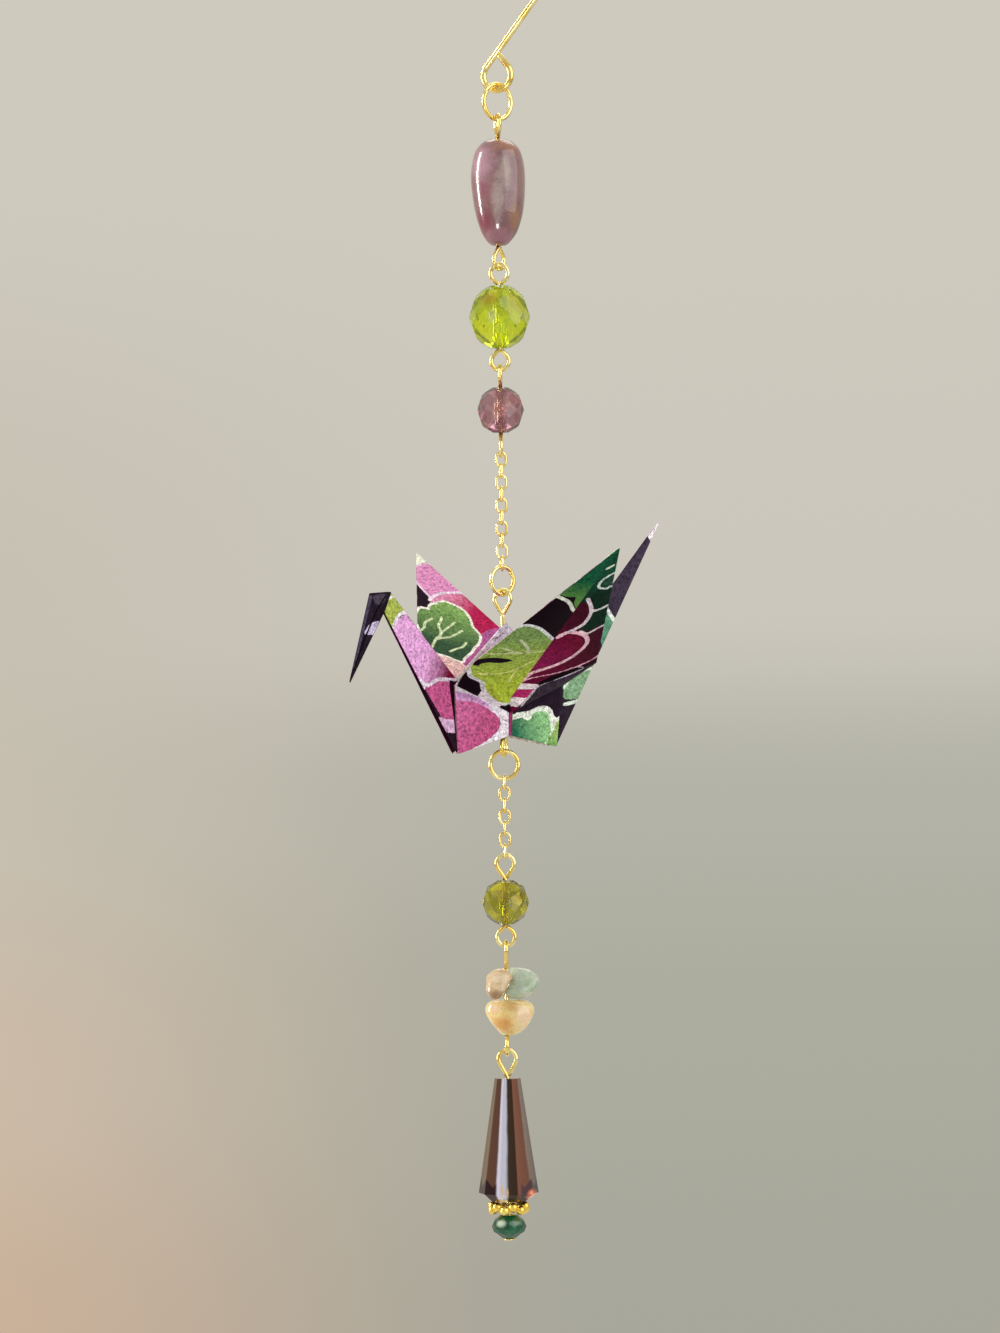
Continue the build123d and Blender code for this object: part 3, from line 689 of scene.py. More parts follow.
coating_and_highlight = bronze.ramp(bronze.sum("ADD", turn_share, waver), COATING_STRIPS_AND_HIGHLIGHT)
notch = bronze.sum("PINGPONG", bronze.sum("MULTIPLY", turn_share, NOTCHES), 1.0)
notch = bronze.sum("MULTIPLY", notch, NOTCH_HEIGHT)
level = bronze.sum("SUBTRACT", bronze.sum("SUBTRACT", z, NOTCH_LEVEL), notch)
sides_only = bronze.step(bronze.sum("ABSOLUTE", x), *NOTCH_FREE)
dark_share = bronze.sum("MULTIPLY", bronze.step(level, NOTCH_EDGE, -NOTCH_EDGE), sides_only)
bronze_colour = bronze.blend(dark_share, coating_and_highlight, shade(44, 14, 24))
dress("glass_drop", bronze.painted(patched(bronze, bronze_colour, "glass_drop", PAINTED_DROP_HIGHLIGHTS, 0.4, 1500.0)))


# The crane: one square sheet, folded. Each facet has its corners in the crane's own frame (x to the tail,
# -y to the near wing) and its places on the flat folded sheet, where the print is drawn

HALF_SHEET = 37.5
HINGE = 5.1
CORNER_REACH = 8.2
FOLD_DEGREES = 11.25
FOLD = radians(FOLD_DEGREES)
SPREAD = 1.3
LEG_ROOT = 3.3
FLAP_INSET = 0.4
FLAP_LIFT = 0.22
CRANE_TURN = radians(35.0)
CRANE_TILT = radians(1.45)
SHEET = 0.2
SOLID_SHEET = 0.25
HUMP_BELOW_LOOP = 0.9
RIDGE_SHARE = 0.8
CROWN_SHARE = 0.9
CREST_SHIFT = (-3.2, -0.25)
BEAK_LEAN = 14.2
BROW_OUT = 0.25
NAPE_OUT = 0.5
slim, wide = tan(FOLD), tan(2 * FOLD)
hump_height = HALF_SHEET * wide
edge_height = HALF_SHEET * (wide - slim) / (wide + slim)
edge_reach = (HALF_SHEET - edge_height) * wide
shoulder_height = (hump_height - slim * HALF_SHEET) / (1 + slim)
shoulder_reach = hump_height - shoulder_height
corner_height = hump_height / sin(2 * FOLD) - HALF_SHEET
crane_loop = PINS["crane_pin"][1][0]
crane_top = top_and_foot("crane_pin")[0] - crane_loop - HUMP_BELOW_LOOP
crane_base = crane_top - hump_height - SOLID_SHEET / 2

# Each end: its way, how far its walls stand off the middle at the shoulder, how far its low corner
# drops, the lean of its leg in degrees, and the share of the leg up to where the head or tip starts.
# Each wing: its side, its rise and how far its tip leans to the tail
ENDS = {"head": (-1, 0.55, 2.6, 32.2, 0.65), "tail": (1, 0.85, 1.5, 29.6, 0.985)}
WINGS = {"near": (-1, radians(39.3), 0.0), "far": (1, radians(39.0), 2.8)}


def out_to(reach, gap):
    """How far a side wall stands off the crane's middle at this distance along it."""
    return SPREAD - (SPREAD - gap) * reach / shoulder_reach


def on_wing(wing, reach, height):
    """A corner on the wing: its place, swung out to the wing's rise, and its place on the sheet."""
    side, rise, lean = WINGS[wing]
    out = height - HINGE
    forward = reach + lean * out / (HALF_SHEET - HINGE)
    return (forward, side * (SPREAD + out * cos(rise)), HINGE + out * sin(rise)), (reach, height)


def towards(start, lean, length):
    """The place this far from start, leaning this many degrees from upright."""
    return start[0] + length * sin(radians(lean)), start[1] + length * cos(radians(lean))


def body_facets(wing, end):
    """One end of one side: each facet's corners with their places on the sheet, step, swell and prints."""
    side = WINGS[wing][0]
    way, gap, drop = ENDS[end][:3]

    def wall(reach, height, lift=0.0):
        return (way * reach, side * (out_to(reach, gap) + lift), height), (way * reach, height)

    tip = on_wing(wing, 0, HALF_SHEET)
    edge = on_wing(wing, way * edge_reach, edge_height)
    hinge = on_wing(wing, 0, HINGE)
    fold = wall(0, corner_height)
    shoulder = wall(shoulder_reach, shoulder_height)
    corner = wall(CORNER_REACH, -drop)
    foot = wall(0, 0)
    apex = ((0, 0, hump_height), (0, hump_height))
    flap = [
        wall(FLAP_INSET, corner_height, FLAP_LIFT),
        wall(shoulder_reach, shoulder_height, FLAP_LIFT),
        wall(CORNER_REACH, -drop, FLAP_LIFT),
        wall(FLAP_INSET, -FLAP_INSET * drop / CORNER_REACH, FLAP_LIFT),
    ]
    half = f"{end}_half"
    return {
        "wing": ([tip, edge, hinge], 0.28, 0.35, half, "wing_inner"),
        "root": ([edge, hinge, fold], 0.34, 0, half, "wing_inner"),
        "folded": ([edge, fold, shoulder], 0.34, 0.06, half, "lining"),
        "wall": ([fold, shoulder, corner, foot], 0.5, 0, "strip", "lining"),
        "flap": (flap, 0.3, 0.12, f"{end}_wall", "lining"),
        "hump": ([apex, shoulder, fold], 0.34, 0.1, "hump", "lining"),
    }


def leg_facets(end, side):
    """One layer of the neck or tail, and of the head at the neck's end."""
    way, gap, drop, lean, share = ENDS[end]
    start = (way * CORNER_REACH, -drop)
    length = (HALF_SHEET - drop) / cos(FOLD)
    tip = towards(start, way * lean, length)
    ridge_lean = way * (lean + FOLD_DEGREES)
    stop = towards(start, way * lean, share * length)
    crown = towards(tip, ridge_lean, -CROWN_SHARE * (1 - share) * length)
    ridge = towards(tip, ridge_lean, -RIDGE_SHARE * length)
    spread = side * out_to(CORNER_REACH, gap)

    def at(place, off):
        return ((place[0], off, place[1]), place)

    foot = at(start, spread)
    ridge_foot = at(ridge, 0)
    layers = {
        "leg": ([foot, at(stop, spread * (1 - share)), at(crown, 0), ridge_foot],
                0.38, 0.1, end, "fold_shade"),
        "leg_root": ([foot, ridge_foot, at((way * LEG_ROOT, corner_height), 0)],
                     0.4, 0, end, "fold_shade"),
    }
    if end == "head":
        crest = (crown[0] + CREST_SHIFT[0], crown[1] + CREST_SHIFT[1])
        beak = towards(crest, BEAK_LEAN, -(1 - share) * length)
        brow = at(crown, side * BROW_OUT)
        nape = at(stop, side * NAPE_OUT)
        layers |= {
            "head_top": ([at(beak, 0), at(crest, 0), brow], 0.34, 0.12, "face", "fold_shade"),
            "head_side": ([at(beak, 0), brow, nape], 0.34, 0.1, "face", "fold_shade"),
        }
    return layers


def lattice(corners, step):
    """Shares of the corners at each point of a facet's grid, its faces, and the loop round its rim.
    A triangle has rows that grow by one point from its first corner. Four corners have even rows."""
    corners = np.asarray(corners)
    count = max(3, int(np.ceil(np.linalg.norm(corners[1] - corners[0]) / step)))
    if len(corners) == 3:
        row = np.repeat(np.arange(count + 1), np.arange(1, count + 2))
        place = np.arange(len(row)) - row * (row + 1) // 2
        shares = np.stack([count - row, row - place, place], 1) / count
        start = np.arange(count + 1) * np.arange(1, count + 2) // 2
        below = list(zip(start[:-1], start[1:], range(1, count + 1)))
        lower = [(a + p, b + p, b + p + 1) for a, b, width in below for p in range(width)]
        upper = [(a + p, b + p + 1, a + p + 1) for a, b, width in below for p in range(width - 1)]
        last = start[count] + np.arange(count + 1)
        loop = np.concatenate([start, last[1:], (start + np.arange(count + 1))[-2:0:-1]])
        return shares, lower + upper, loop
    across = max(3, int(np.ceil(np.linalg.norm(corners[3] - corners[0]) / step)))
    s, t = np.meshgrid(np.linspace(0, 1, count + 1), np.linspace(0, 1, across + 1), indexing="ij")
    s, t = s.ravel(), t.ravel()
    shares = np.stack([(1 - s) * (1 - t), s * (1 - t), s * t, (1 - s) * t], 1)
    faces = quads(count + 1, across + 1, close_columns=False)
    index = np.arange((count + 1) * (across + 1)).reshape(count + 1, across + 1)
    loop = np.concatenate([index[:, 0], index[-1, 1:], index[-2::-1, -1], index[0, -2:0:-1]])
    return shares, [face[::-1] for face in faces], loop


# Where round a rim's half circle its two rings of points are, above and below the middle
RIM_ANGLE = radians(38)


def leaf_of_paper(corners, places, step, swell, side):
    """A facet as paper: point = share . corners + normal (half the thickness + swell), on both faces, with a
    half-round rim. Swell is swell x 16 s (1 - s) t (1 - t), or 27 times the three shares of a triangle.
    Gives points, faces, places on the sheet, and 1 where a point is on the outer face."""
    corners = np.asarray(corners, float)
    shares, faces, loop = lattice(corners, step)
    middle = shares @ corners
    normal = np.cross(corners[1] - corners[0], corners[2] - corners[0])
    normal /= np.linalg.norm(normal)
    if normal @ np.array([0, side, -0.2]) < 0:
        normal = -normal
    if len(corners) == 3:
        dome = 27 * shares.prod(1)
    else:
        dome = 16 * (shares[:, 0] + shares[:, 3]) * (shares[:, 1] + shares[:, 2])
        dome = dome * (shares[:, 0] + shares[:, 1]) * (shares[:, 2] + shares[:, 3])
    middle = middle + np.outer(swell * dome, normal)
    outer = middle + normal * SHEET / 2
    inner = middle - normal * SHEET / 2
    rim = middle[loop]
    along = np.roll(rim, -1, 0) - np.roll(rim, 1, 0)
    turn = np.sign(np.sum(np.cross(rim, np.roll(rim, -1, 0)), 0) @ normal)
    away = turn * np.cross(along, normal)
    away /= np.linalg.norm(away, axis=1, keepdims=True)
    rings = [rim + SHEET / 2 * (cos(a) * away + sin(a) * normal) for a in (RIM_ANGLE, -RIM_ANGLE)]
    points = np.vstack([outer, inner] + rings)
    uv = shares @ np.asarray(places, float)
    uv = np.vstack([uv, uv, uv[loop], uv[loop]])
    count = len(middle)
    size = len(loop)
    bands = [loop, 2 * count + np.arange(size), 2 * count + size + np.arange(size), count + loop]
    rim_faces = []
    for upper, lower in zip(bands[:-1], bands[1:]):
        rim_faces += np.stack([upper, np.roll(upper, -1), np.roll(lower, -1), lower], 1).tolist()
    outer_faces = [list(face) for face in faces]
    inner_faces = [[corner + count for corner in face[::-1]] for face in faces]
    first = np.cross(outer[faces[0][1]] - outer[faces[0][0]], outer[faces[0][2]] - outer[faces[0][0]])
    if first @ normal < 0:
        outer_faces = [face[::-1] for face in outer_faces]
        inner_faces = [face[::-1] for face in inner_faces]
    if turn > 0:
        rim_faces = [face[::-1] for face in rim_faces]
    on_outer = np.repeat([1, 0, 1, 0], [count, count, size, size])
    return points, outer_faces + inner_faces + rim_faces, uv, on_outer


# The print: fields of colour and lines, laid in order. A line's points are x and y in turn, in millimetres
# on the flat sheet

def curve(points, closed=True):
    """A smooth line through these points."""
    points = np.array(points, float).reshape(-1, 2)
    if closed:
        points = np.vstack([points[-1:], points, points[:2]])
    else:
        points = np.vstack([2 * points[0] - points[1], points, 2 * points[-1] - points[-2]])
    share = np.linspace(0, 1, 5)[:-1, None, None]
    a, b, c, d = points[:-3], points[1:-2], points[2:-1], points[3:]
    path = 0.5 * (2 * b + (c - a) * share + (2 * a - 5 * b + 4 * c - d) * share**2)
    path += 0.5 * (3 * b - a - 3 * c + d) * share**3
    path = path.transpose(1, 0, 2).reshape(-1, 2)
    return path if closed else np.vstack([path, points[-2:-1]])


def tone(where, colour, other=None, start=None, end=None):
    """One colour, or a change from one to another between two places, for each point."""
    first = np.array(shade(*colour))[:3]
    if other is None:
        return np.tile(first, (len(where), 1))
    way = np.subtract(end, start)
    share = np.clip((where - start) @ way / (way @ way), 0, 1)[:, None]
    return first + (np.array(shade(*other))[:3] - first) * share


# How far round a line's box its distance is worked out, and the most that a distance comes to, in mm
LINE_ROOM = 1.5
LINE_REACH = 9.0


def near_line(where, line, closed):
    """Which places are in the line's box or near it, and the square of their distance from the line."""
    near = np.all((where > line.min(0) - LINE_ROOM) & (where < line.max(0) + LINE_ROOM), 1)
    some = where[near]
    best = np.full(len(some), LINE_REACH**2)
    for number in range(0 if closed else 1, len(line)):
        a, b = line[number - 1], line[number]
        way = b - a
        share = np.clip((some - a) @ way / max(way @ way, 1e-9), 0, 1)
        best = np.minimum(best, np.sum((some - a - share[:, None] * way) ** 2, 1))
    return near, best


def field(points, colour, grow=0.0, **change):
    """A patch of colour inside a closed curve. Its depth is grow and the distance to the curve, which counts
    as less than 0 outside."""
    outline = curve(points)

    def depth(where):
        near, best = near_line(where, outline, True)
        x, y = where[near].T
        inside = np.zeros(len(x), bool)
        for a, b in zip(outline, np.roll(outline, -1, 0)):
            crossing = (a[1] > y) != (b[1] > y)
            at = a[0] + (y - a[1]) / (b[1] - a[1] or 1e-9) * (b[0] - a[0])
            inside ^= crossing & (x < at)
        out = np.full(len(where), -1.0)
        out[near] = np.where(inside, 1, -1) * np.sqrt(best) + grow
        return out

    return depth, colour, change


def stroke(points, half, colour, closed=False):
    """A line of this half width. Its depth is (half^2 - distance^2) / (2 half)."""
    course = curve(points, closed)

    def depth(where):
        near, best = near_line(where, course, closed)
        out = np.full(len(where), -1.0)
        out[near] = np.maximum((half**2 - best) / (2 * half), -1.0)
        return out

    return depth, colour, {}


BLACK = (17, 4, 15)
LEAF = [-10.3, 14, -9.8, 16.2, -9, 17.5, -7.8, 19.3, -6.8, 20.6, -5.6, 20.9, -3.9, 20.5, -1.9, 19.2,
    0.4, 17.5, 2.3, 16.2, 3.1, 13.6, 0.6, 12.8, 0.1, 11, 0.2, 8.5, 0.2, 6.9, 0.4, 4.6, -2.2, 5.1, -3.7, 5.9,
    -5.6, 7.6, -6.7, 9.1, -8.4, 9.8, -9.2, 10.8, -10.7, 12.6]
ROUND_LEAF = [-5.8, 23.6, -4.8, 24.7, -3.9, 24.8, -3.2, 24.7, -2.5, 25.7, -1.5, 26, -0.1, 26.3, 1.3, 25.8,
    2.3, 25, 2.7, 24.1, 2.8, 22.7, 2.5, 21.3, 2.8, 20.1, 2.9, 19.1, 2, 17.6, 0.4, 16.1, -0.4, 15.2,
    -2, 14.1, -2.8, 13.3, -4.6, 14.5, -6.4, 15.2, -7.1, 17.1, -6.9, 19.7, -6.7, 21.6]

# What each print lays first, all over, and the marks of its layers, which are added below
BASES = {
    "head_half": dict(colour=BLACK),
    "tail_half": dict(colour=(18, 74, 54), other=(14, 46, 36), start=(0.5, 33), end=(2, 27)),
    "wing_inner": dict(colour=(228, 150, 184), other=(186, 30, 82), start=(0, 28), end=(3.6, 24)),
    "head_wall": dict(colour=(228, 220, 232)),
    "tail_wall": dict(colour=(40, 26, 42)),
    "strip": dict(colour=(156, 60, 110)),
    "lining": dict(colour=(226, 218, 210)),
    "fold_shade": dict(colour=(58, 14, 44)),
    "hump": dict(colour=(216, 210, 226), other=(152, 40, 88), start=(-2.0, 13.2), end=(-7.0, 8.4)),
    "head": dict(colour=(36, 22, 34)),
    "face": dict(colour=(36, 27, 40)),
    "tail": dict(colour=(48, 38, 50), other=(66, 56, 74), start=(13, 12), end=(19, 20)),
}
MARKS = {name: [] for name in BASES}


def lay(name, *marks):
    """Lays a layer of marks over a print's earlier ones."""
    MARKS[name].append(marks)


lay("head_half",
    field(LEAF, (206, 208, 214), 0.5),
    stroke([-5, 26.9, -4.5, 27.2, -3.6, 27, -2.4, 26.5, -1.5, 25.8, -0.6, 24.8, 0.5, 24, 1.5, 23.4], 0.3,
        (208, 214, 204)),
    field([-5.5, 6.2, -5.6, 7.6, -3.8, 6.1, -2.5, 5.5, 0.7, 4.7, 1.2, 1.7, 1.6, 0.7, -1.1, 1.9, -4.4, 3.9],
        (234, 230, 238)))
lay("head_half",
    field(LEAF, (116, 146, 84), other=(172, 190, 62), start=(-4, 19), end=(-2, 8.5)),
    field([-0.2, 39.2, -1.9, 34.4, -3.4, 31, -4.2, 27.9, -2.8, 27.4, -1.6, 27.4, -1.1, 26.1, 0.8, 24.3,
        2.5, 25.3, 3.1, 28.3, 2.2, 36.8], (16, 84, 56), other=(92, 142, 66), start=(-1, 30.5),
        end=(-1.2, 25.5)),
    field([-2, 4.4, 0.8, 3.9, 1.2, 1.6], BLACK))
lay("head_half",
    stroke([-10.4, 15, -9.3, 14.9, -7.9, 14.9, -4.4, 15.4, -2.5, 15.6, 1.2, 15.6], 0.17, (196, 202, 146)),
    stroke([-5.6, 18.1, -4.6, 17.4, -3.5, 16.5, -2.8, 15.6], 0.24, (184, 192, 160)),
    stroke([-7.6, 16.2, -6.3, 15.9, -5.1, 15.6, -4.1, 15.5], 0.2, (184, 192, 150)),
    stroke([-8.3, 10.7, -6.4, 10.5, -4.6, 10.7, -2.6, 12.1, -1.2, 13.3, 0, 14.1, 1.8, 14.6], 0.17,
        (204, 208, 130)),
    stroke([-2.6, 12.1, -2.6, 10.5, -2.3, 8.7], 0.17, (204, 208, 130)))
lay("head_half",
    field([-11.2, 12.9, -9.6, 13.7, -8.3, 14, -6.6, 14.1, -4.4, 13.8, -6.1, 13.1, -7.7, 13, -8.8, 12.8,
        -9.6, 12.2], (22, 8, 22), 0.02),
    stroke([-8.8, 6.9, -9.6, 9.5, -10.1, 11.9, -10.1, 13.3], 0.16, (214, 200, 216)))
lay("tail_half",
    field([-1.5, 24.2, 1.2, 25.9, 2.4, 25, 3.1, 20.6, 7.6, 22, 12, 18, 10.3, 13, 4, 0, -3, 2.5],
        (98, 10, 50), other=(62, 10, 32), start=(1.5, 12), end=(7, 18)),
    field([1.1, 28.9, 1.6, 29.1, 3.5, 29.2, 5.4, 26, 4, 25.6, 3.1, 24.9, 1.3, 26.5], (10, 40, 30)),
    field([3.2, 24.6, 4, 25, 5, 25.1, 6.1, 23.7, 7, 22, 5.8, 21.1, 4.4, 20.3, 3.3, 20.9, 3.1, 23],
        (10, 40, 30), 0.1))
lay("tail_half",
    stroke([0.9, 29.8, 0.8, 30.7, 1.1, 31.4, 1.9, 32.4, 2.6, 32.1, 3.5, 29.9, 2.8, 29.7, 2.6, 29.3,
        1.4, 29.4], 0.22, (196, 208, 202), closed=True),
    stroke([0.7, 27, 1.8, 25.8, 2.6, 24.6, 2.9, 23.4, 2.8, 21.9, 2.1, 20.9, 1.3, 20, 0.6, 19.2], 0.3,
        (214, 200, 212)),
    stroke([2.4, 24.9, 3.4, 24.8, 4.9, 25.7, 5.4, 26], 0.26, (206, 206, 208)),
    stroke([3.1, 20.4, 4.6, 19.9, 5.6, 20.7, 6.8, 21.5, 7.6, 21.8], 0.24, (214, 200, 208)),
    stroke([0.4, 18.7, 1.4, 20, 3.7, 19.8, 5.2, 18.8, 5.8, 17.5, 5.4, 15.6, 4.3, 13.9, 2.7, 12.5, 0.7, 11.1,
        0.1, 10.1, -0.2, 8.9], 0.34, (226, 180, 198)),
    stroke([0.3, 33.3, 1, 34.1], 0.22, (204, 218, 204)))
lay("tail_half",
    field([-2, 19, 0.3, 18.3, 1.6, 19.6, 3.2, 19.5, 4.7, 18.5, 5.3, 17.2, 4.9, 15.6, 4, 14.2, 2.5, 13,
        0.5, 11.6, -2, 10], (104, 8, 48), -0.05, other=(134, 26, 84), start=(3, 18), end=(0.5, 11.5)),
    field([1.5, 30.1, 1.5, 30.8, 1.9, 31.4, 2.5, 31.7, 3.1, 30.3, 2.3, 30], (40, 74, 62)),
    field([10.5, 15.6, 10.1, 14.7, 9.3, 13.5, 7.8, 12.4, 6, 11.4, 3.7, 10.1, 2.9, 7.8, 7.5, 7, 12, 11.1],
        (17, 5, 15)),
    field([-1.7, 8.3, 0, 8.5, 1.6, 8.5, 3.4, 8.3, 3.4, 7.4, 1.3, 7.2, -1.3, 7.1], (234, 222, 232)),
    field([-1, 5.2, 0.5, 5.5, 2.2, 6, 1.6, 4.5, -0.5, 4], (234, 222, 232)))
lay("tail_half",
    stroke([10.4, 16.6, 9.7, 15.2, 8.8, 13.8, 7.1, 12.4, 5.1, 11.3, 2.9, 10.5, 0.8, 9.7, -0.3, 8.5], 0.17,
        (222, 168, 190)),
    stroke([6.3, 12.1, 7.3, 12.3, 8.9, 12.1, 10.1, 11.4], 0.14, (188, 178, 188)),
    field([-1.8, 7.1, 0.3, 7.2, 2.9, 7.1, 2, 5.8, 0.4, 5.4, -1, 5.2], (176, 44, 106)))
lay("tail_half",
    field([1, 3.6, 1.5, 5, 2.6, 6.6, 3.5, 8.1, 4.3, 8.7, 6.7, 10.4, 10.6, 13.6, 11, 8, 8, 3, 3, 1],
        (60, 48, 62)))
lay("tail_half",
    stroke([1.3, 4.4, 2.6, 6.6, 3.5, 8.1, 4.3, 8.7, 6.7, 10.4, 8.6, 12], 0.13, (196, 184, 196)))
lay("wing_inner",
    field([-4.2, 34, -1.2, 34.6, 0.2, 35.1, 1.4, 35, 3.4, 35, 7, 29.5, 6.4, 26.8, 5.2, 27.6, 3.6, 28.6,
        1.6, 28.7, -0.2, 28.2, -1.7, 27.5, -2.4, 29, -2.9, 30.6, -5, 32], (224, 146, 192)),
    field([-1.2, 39.4, 2.3, 39.6, 1.9, 34.9, 1.1, 35.4, -0.3, 35.1, -2.4, 34.2], (240, 240, 218)),
    field([-4.5, 31.2, -3.6, 31.4, -3.1, 30.2, -2.5, 28.6, -1.9, 27.2, -2.5, 26.1, -2.9, 25.1, -4.2, 25.2,
        -5.7, 24.1, -6.8, 22.6, -7.8, 19.3, -10.5, 17], (32, 12, 28)),
    field([-12, 18.5, -8.4, 16.9, -6.5, 15.6, -4.6, 14.6, -2.9, 13.1, -2.1, 11.6, 0, 4, -12, 4],
        (242, 200, 192)),
    field([-2.8, 13, -0.2, 15, 2.2, 17.4, 3.2, 19.2, 6, 20.6, 12, 20, 11, 10, 0, 2], (178, 92, 150)))
lay("wing_inner",
    stroke([-3.5, 32.1, -3, 30.7, -2.4, 28.9, -1.8, 27.4], 0.22, (238, 214, 232)),
    stroke([-2.3, 26.9, -1.3, 27.7, -0.3, 28.1, 1.5, 28.6, 3.5, 28.5, 5, 27.6, 5.9, 26.6], 0.28,
        (240, 222, 238)),
    stroke([-4.2, 34.1, -1.2, 34.6, 0.2, 35.1, 1.4, 35, 3.4, 35], 0.2, (236, 214, 222)),
    field(ROUND_LEAF, (245, 240, 226), 0.45))
lay("wing_inner",
    field(ROUND_LEAF, (132, 172, 94), other=(54, 86, 58), start=(0.5, 25), end=(-3.5, 17)))
lay("wing_inner",
    stroke([-6.4, 16.3, -5.3, 17.7, -4.5, 18.5, -3.6, 19.3, -3.2, 20.2, -3.1, 21.3, -2.3, 22.3, -1.8, 23.1],
        0.22, (212, 224, 176)),
    stroke([-3.5, 19.5, -1.9, 20.7, -1.2, 21.1, -0.3, 21.7], 0.2, (212, 224, 176)),
    stroke([-4.9, 18.1, -3.8, 18.5, -2.4, 18.7, -1.1, 19.2, 0.2, 19.8], 0.22, (212, 224, 176)),
    stroke([-6.9, 19.8, -5.9, 20.6, -5.5, 21.4, -4.9, 22, -3.6, 22.8], 0.22, (212, 224, 176)),
    stroke([-3.7, 15.5, -2.3, 16.1, -1.4, 16.3, -0.3, 17.1], 0.22, (212, 224, 176)))
lay("head_wall",
    field([-9.6, 5, -8.7, 5.7, -6.6, 5.4, -4, 4.3, -3.6, 3.4, -5, 4, -7.5, 4], (206, 152, 204), 0.15))
lay("head_wall",
    field([-9.2, 4.1, -7.5, 4.6, -6, 4.5, -4.6, 4, -3.2, 3.3, -2.2, 2.6, -1.7, 1.8, -2, 0.7, -3.6, -0.7,
        -6, -1.9, -9, -2.8], (204, 104, 156), other=(188, 80, 130), start=(-8, 3), end=(-3, 0)))
lay("head_wall",
    stroke([-1.5, 2.3, -0.5, 1.8], 0.13, (130, 84, 120)))
lay("tail_wall",
    field([-0.5, 2, 0.8, 2.9, 1.7, 3.1, 2.7, 3.2, 3.7, 3.5, 4.8, 3.9, 5.9, 4, 6.7, 3.8, 7.3, 3.3, 7.6, 2.5,
        8.3, 2.4, 8.9, 2.9, 10, 3.5, 10, -3, -0.5, -2], (234, 240, 228), 0.08))
lay("tail_wall",
    field([-0.5, 1.6, 0.9, 2.2, 1.9, 2.4, 2.7, 2, 3.4, 2.3, 3.9, 3, 4.9, 3.3, 6, 3.3, 6.6, 2.8, 6.8, 2,
        7.1, 1.3, 7, 0.6, 6.2, -0.9, 4.6, -2.4, -0.5, -2], (34, 106, 80), other=(150, 204, 142),
        start=(1, 0), end=(5.6, 2.2)),
    field([7.6, 1, 8.2, 1.8, 10, 2.9, 10, -3, 6.2, -3, 6.7, -0.4, 7.4, 0.3], (112, 166, 92),
        other=(168, 196, 112), start=(6.5, -1.5), end=(8.5, 1.5)))
lay("tail_wall",
    stroke([6, -0.9, 6.7, -0.3, 7.8, 0.8], 0.17, (222, 236, 206)))
lay("hump",
    stroke([-0.4, 14.2, -1.6, 13.4, -3, 13.2], 0.13, (150, 90, 120)))
lay("head",
    field([-13.8, 6.5, -12.8, 6.6, -11.7, 7.1, -10, 7.4, -5, 7.4, -5, 0, -8.7, 0.2, -9.8, 0.5, -11, 2.4],
        (194, 88, 140)),
    field([-21.6, 17, -20.6, 18.4, -18.5, 19.4, -17.4, 18.2, -17, 16.8, -17.9, 16.4, -18.6, 15.8,
        -18.9, 14.5, -20, 14.3], (170, 186, 86)),
    field([-19.6, 13.4, -18.7, 14.8, -18.2, 15.6, -17.4, 16.2, -16.2, 16.9, -14.5, 15.6, -11, 12.6, -6, 8.2,
        -7.9, 7.4, -10, 7.6, -11.7, 7.4, -12.8, 6.9, -13.8, 6.4, -14.9, 6.6, -17.6, 10.4], (230, 170, 224),
        other=(120, 14, 54), start=(-13.2, 11), end=(-9.2, 9.2)))
lay("head",
    stroke([-21.4, 16.8, -20.3, 18.2, -18.5, 18.9, -17.2, 19.1], 0.22, (232, 234, 220)),
    stroke([-19.2, 13.6, -18.9, 14.8, -18.4, 15.8, -17.6, 16.5, -16.2, 16.8], 0.28, (238, 230, 240)),
    stroke([-15.2, 7.5, -14.1, 6.9, -13.1, 6.8, -12.1, 7.3, -11, 7.6, -9.6, 7.5, -7.4, 7.4], 0.32,
        (226, 214, 230)),
    field([-15.5, 7.6, -14.3, 7.6, -13.6, 6.6, -14, 5.8, -14.6, 5.6], (224, 212, 228)))
lay("head",
    field([-11.6, 2.3, -10.1, 2.1, -8.7, 1.9, -8.3, 0.3, -10.6, 0.5], (214, 176, 210)),
    stroke([-14.6, 7, -14.1, 6.6, -14.2, 6], 0.13, (120, 96, 124)))
# Painted shadow: a near-black field over the neck's root, where it runs into the body
lay("head",
    field([-9.5, 7.2, -8.6, 7.3, -5, 7.4, -5, 0, -7.9, -2.6, -8.4, -2, -8.8, 2], (36, 6, 26)))
# On the head: a pale violet patch, then painted highlights as a grey-violet streak down the left edge and a
# small patch at the crown, and over them a thin dark line of painted shade along the beak's middle fold
lay("face",
    field([-23.6, 13.7, -22.8, 14.9, -21.9, 15.3, -20.6, 15.2, -21.6, 13.6, -22.5, 13.5], (208, 196, 228)),
    stroke([-25.1, 9.2, -24.5, 11.6, -23.8, 14.4, -23.2, 16.6, -22.6, 18.7], 0.24, (78, 72, 94)),
    field([-22.2, 18.8, -20.2, 19.1, -20.5, 18.1, -21.6, 17.6], (74, 66, 80)))
lay("face",
    stroke([-25.2, 8.6, -24.1, 11.6, -22.8, 14.6, -21.6, 17, -20.2, 18.9], 0.13, (12, 7, 14)))
lay("tail",
    field([23, 27.3, 24.1, 28.2, 24.6, 27.7, 25.3, 27, 28.5, 30.6, 26.6, 33], (250, 234, 246)),
    field([10.4, 7.9, 11.4, 8.9, 13.6, 10, 15.5, 10, 15, 7, 12.7, 5, 11.4, 5.1, 10.8, 5, 9.6, 5.3],
        (136, 176, 136)),
    field([15.6, 16.4, 17.3, 17, 19, 15.9, 17.4, 12.6, 16, 13], (92, 150, 120)))
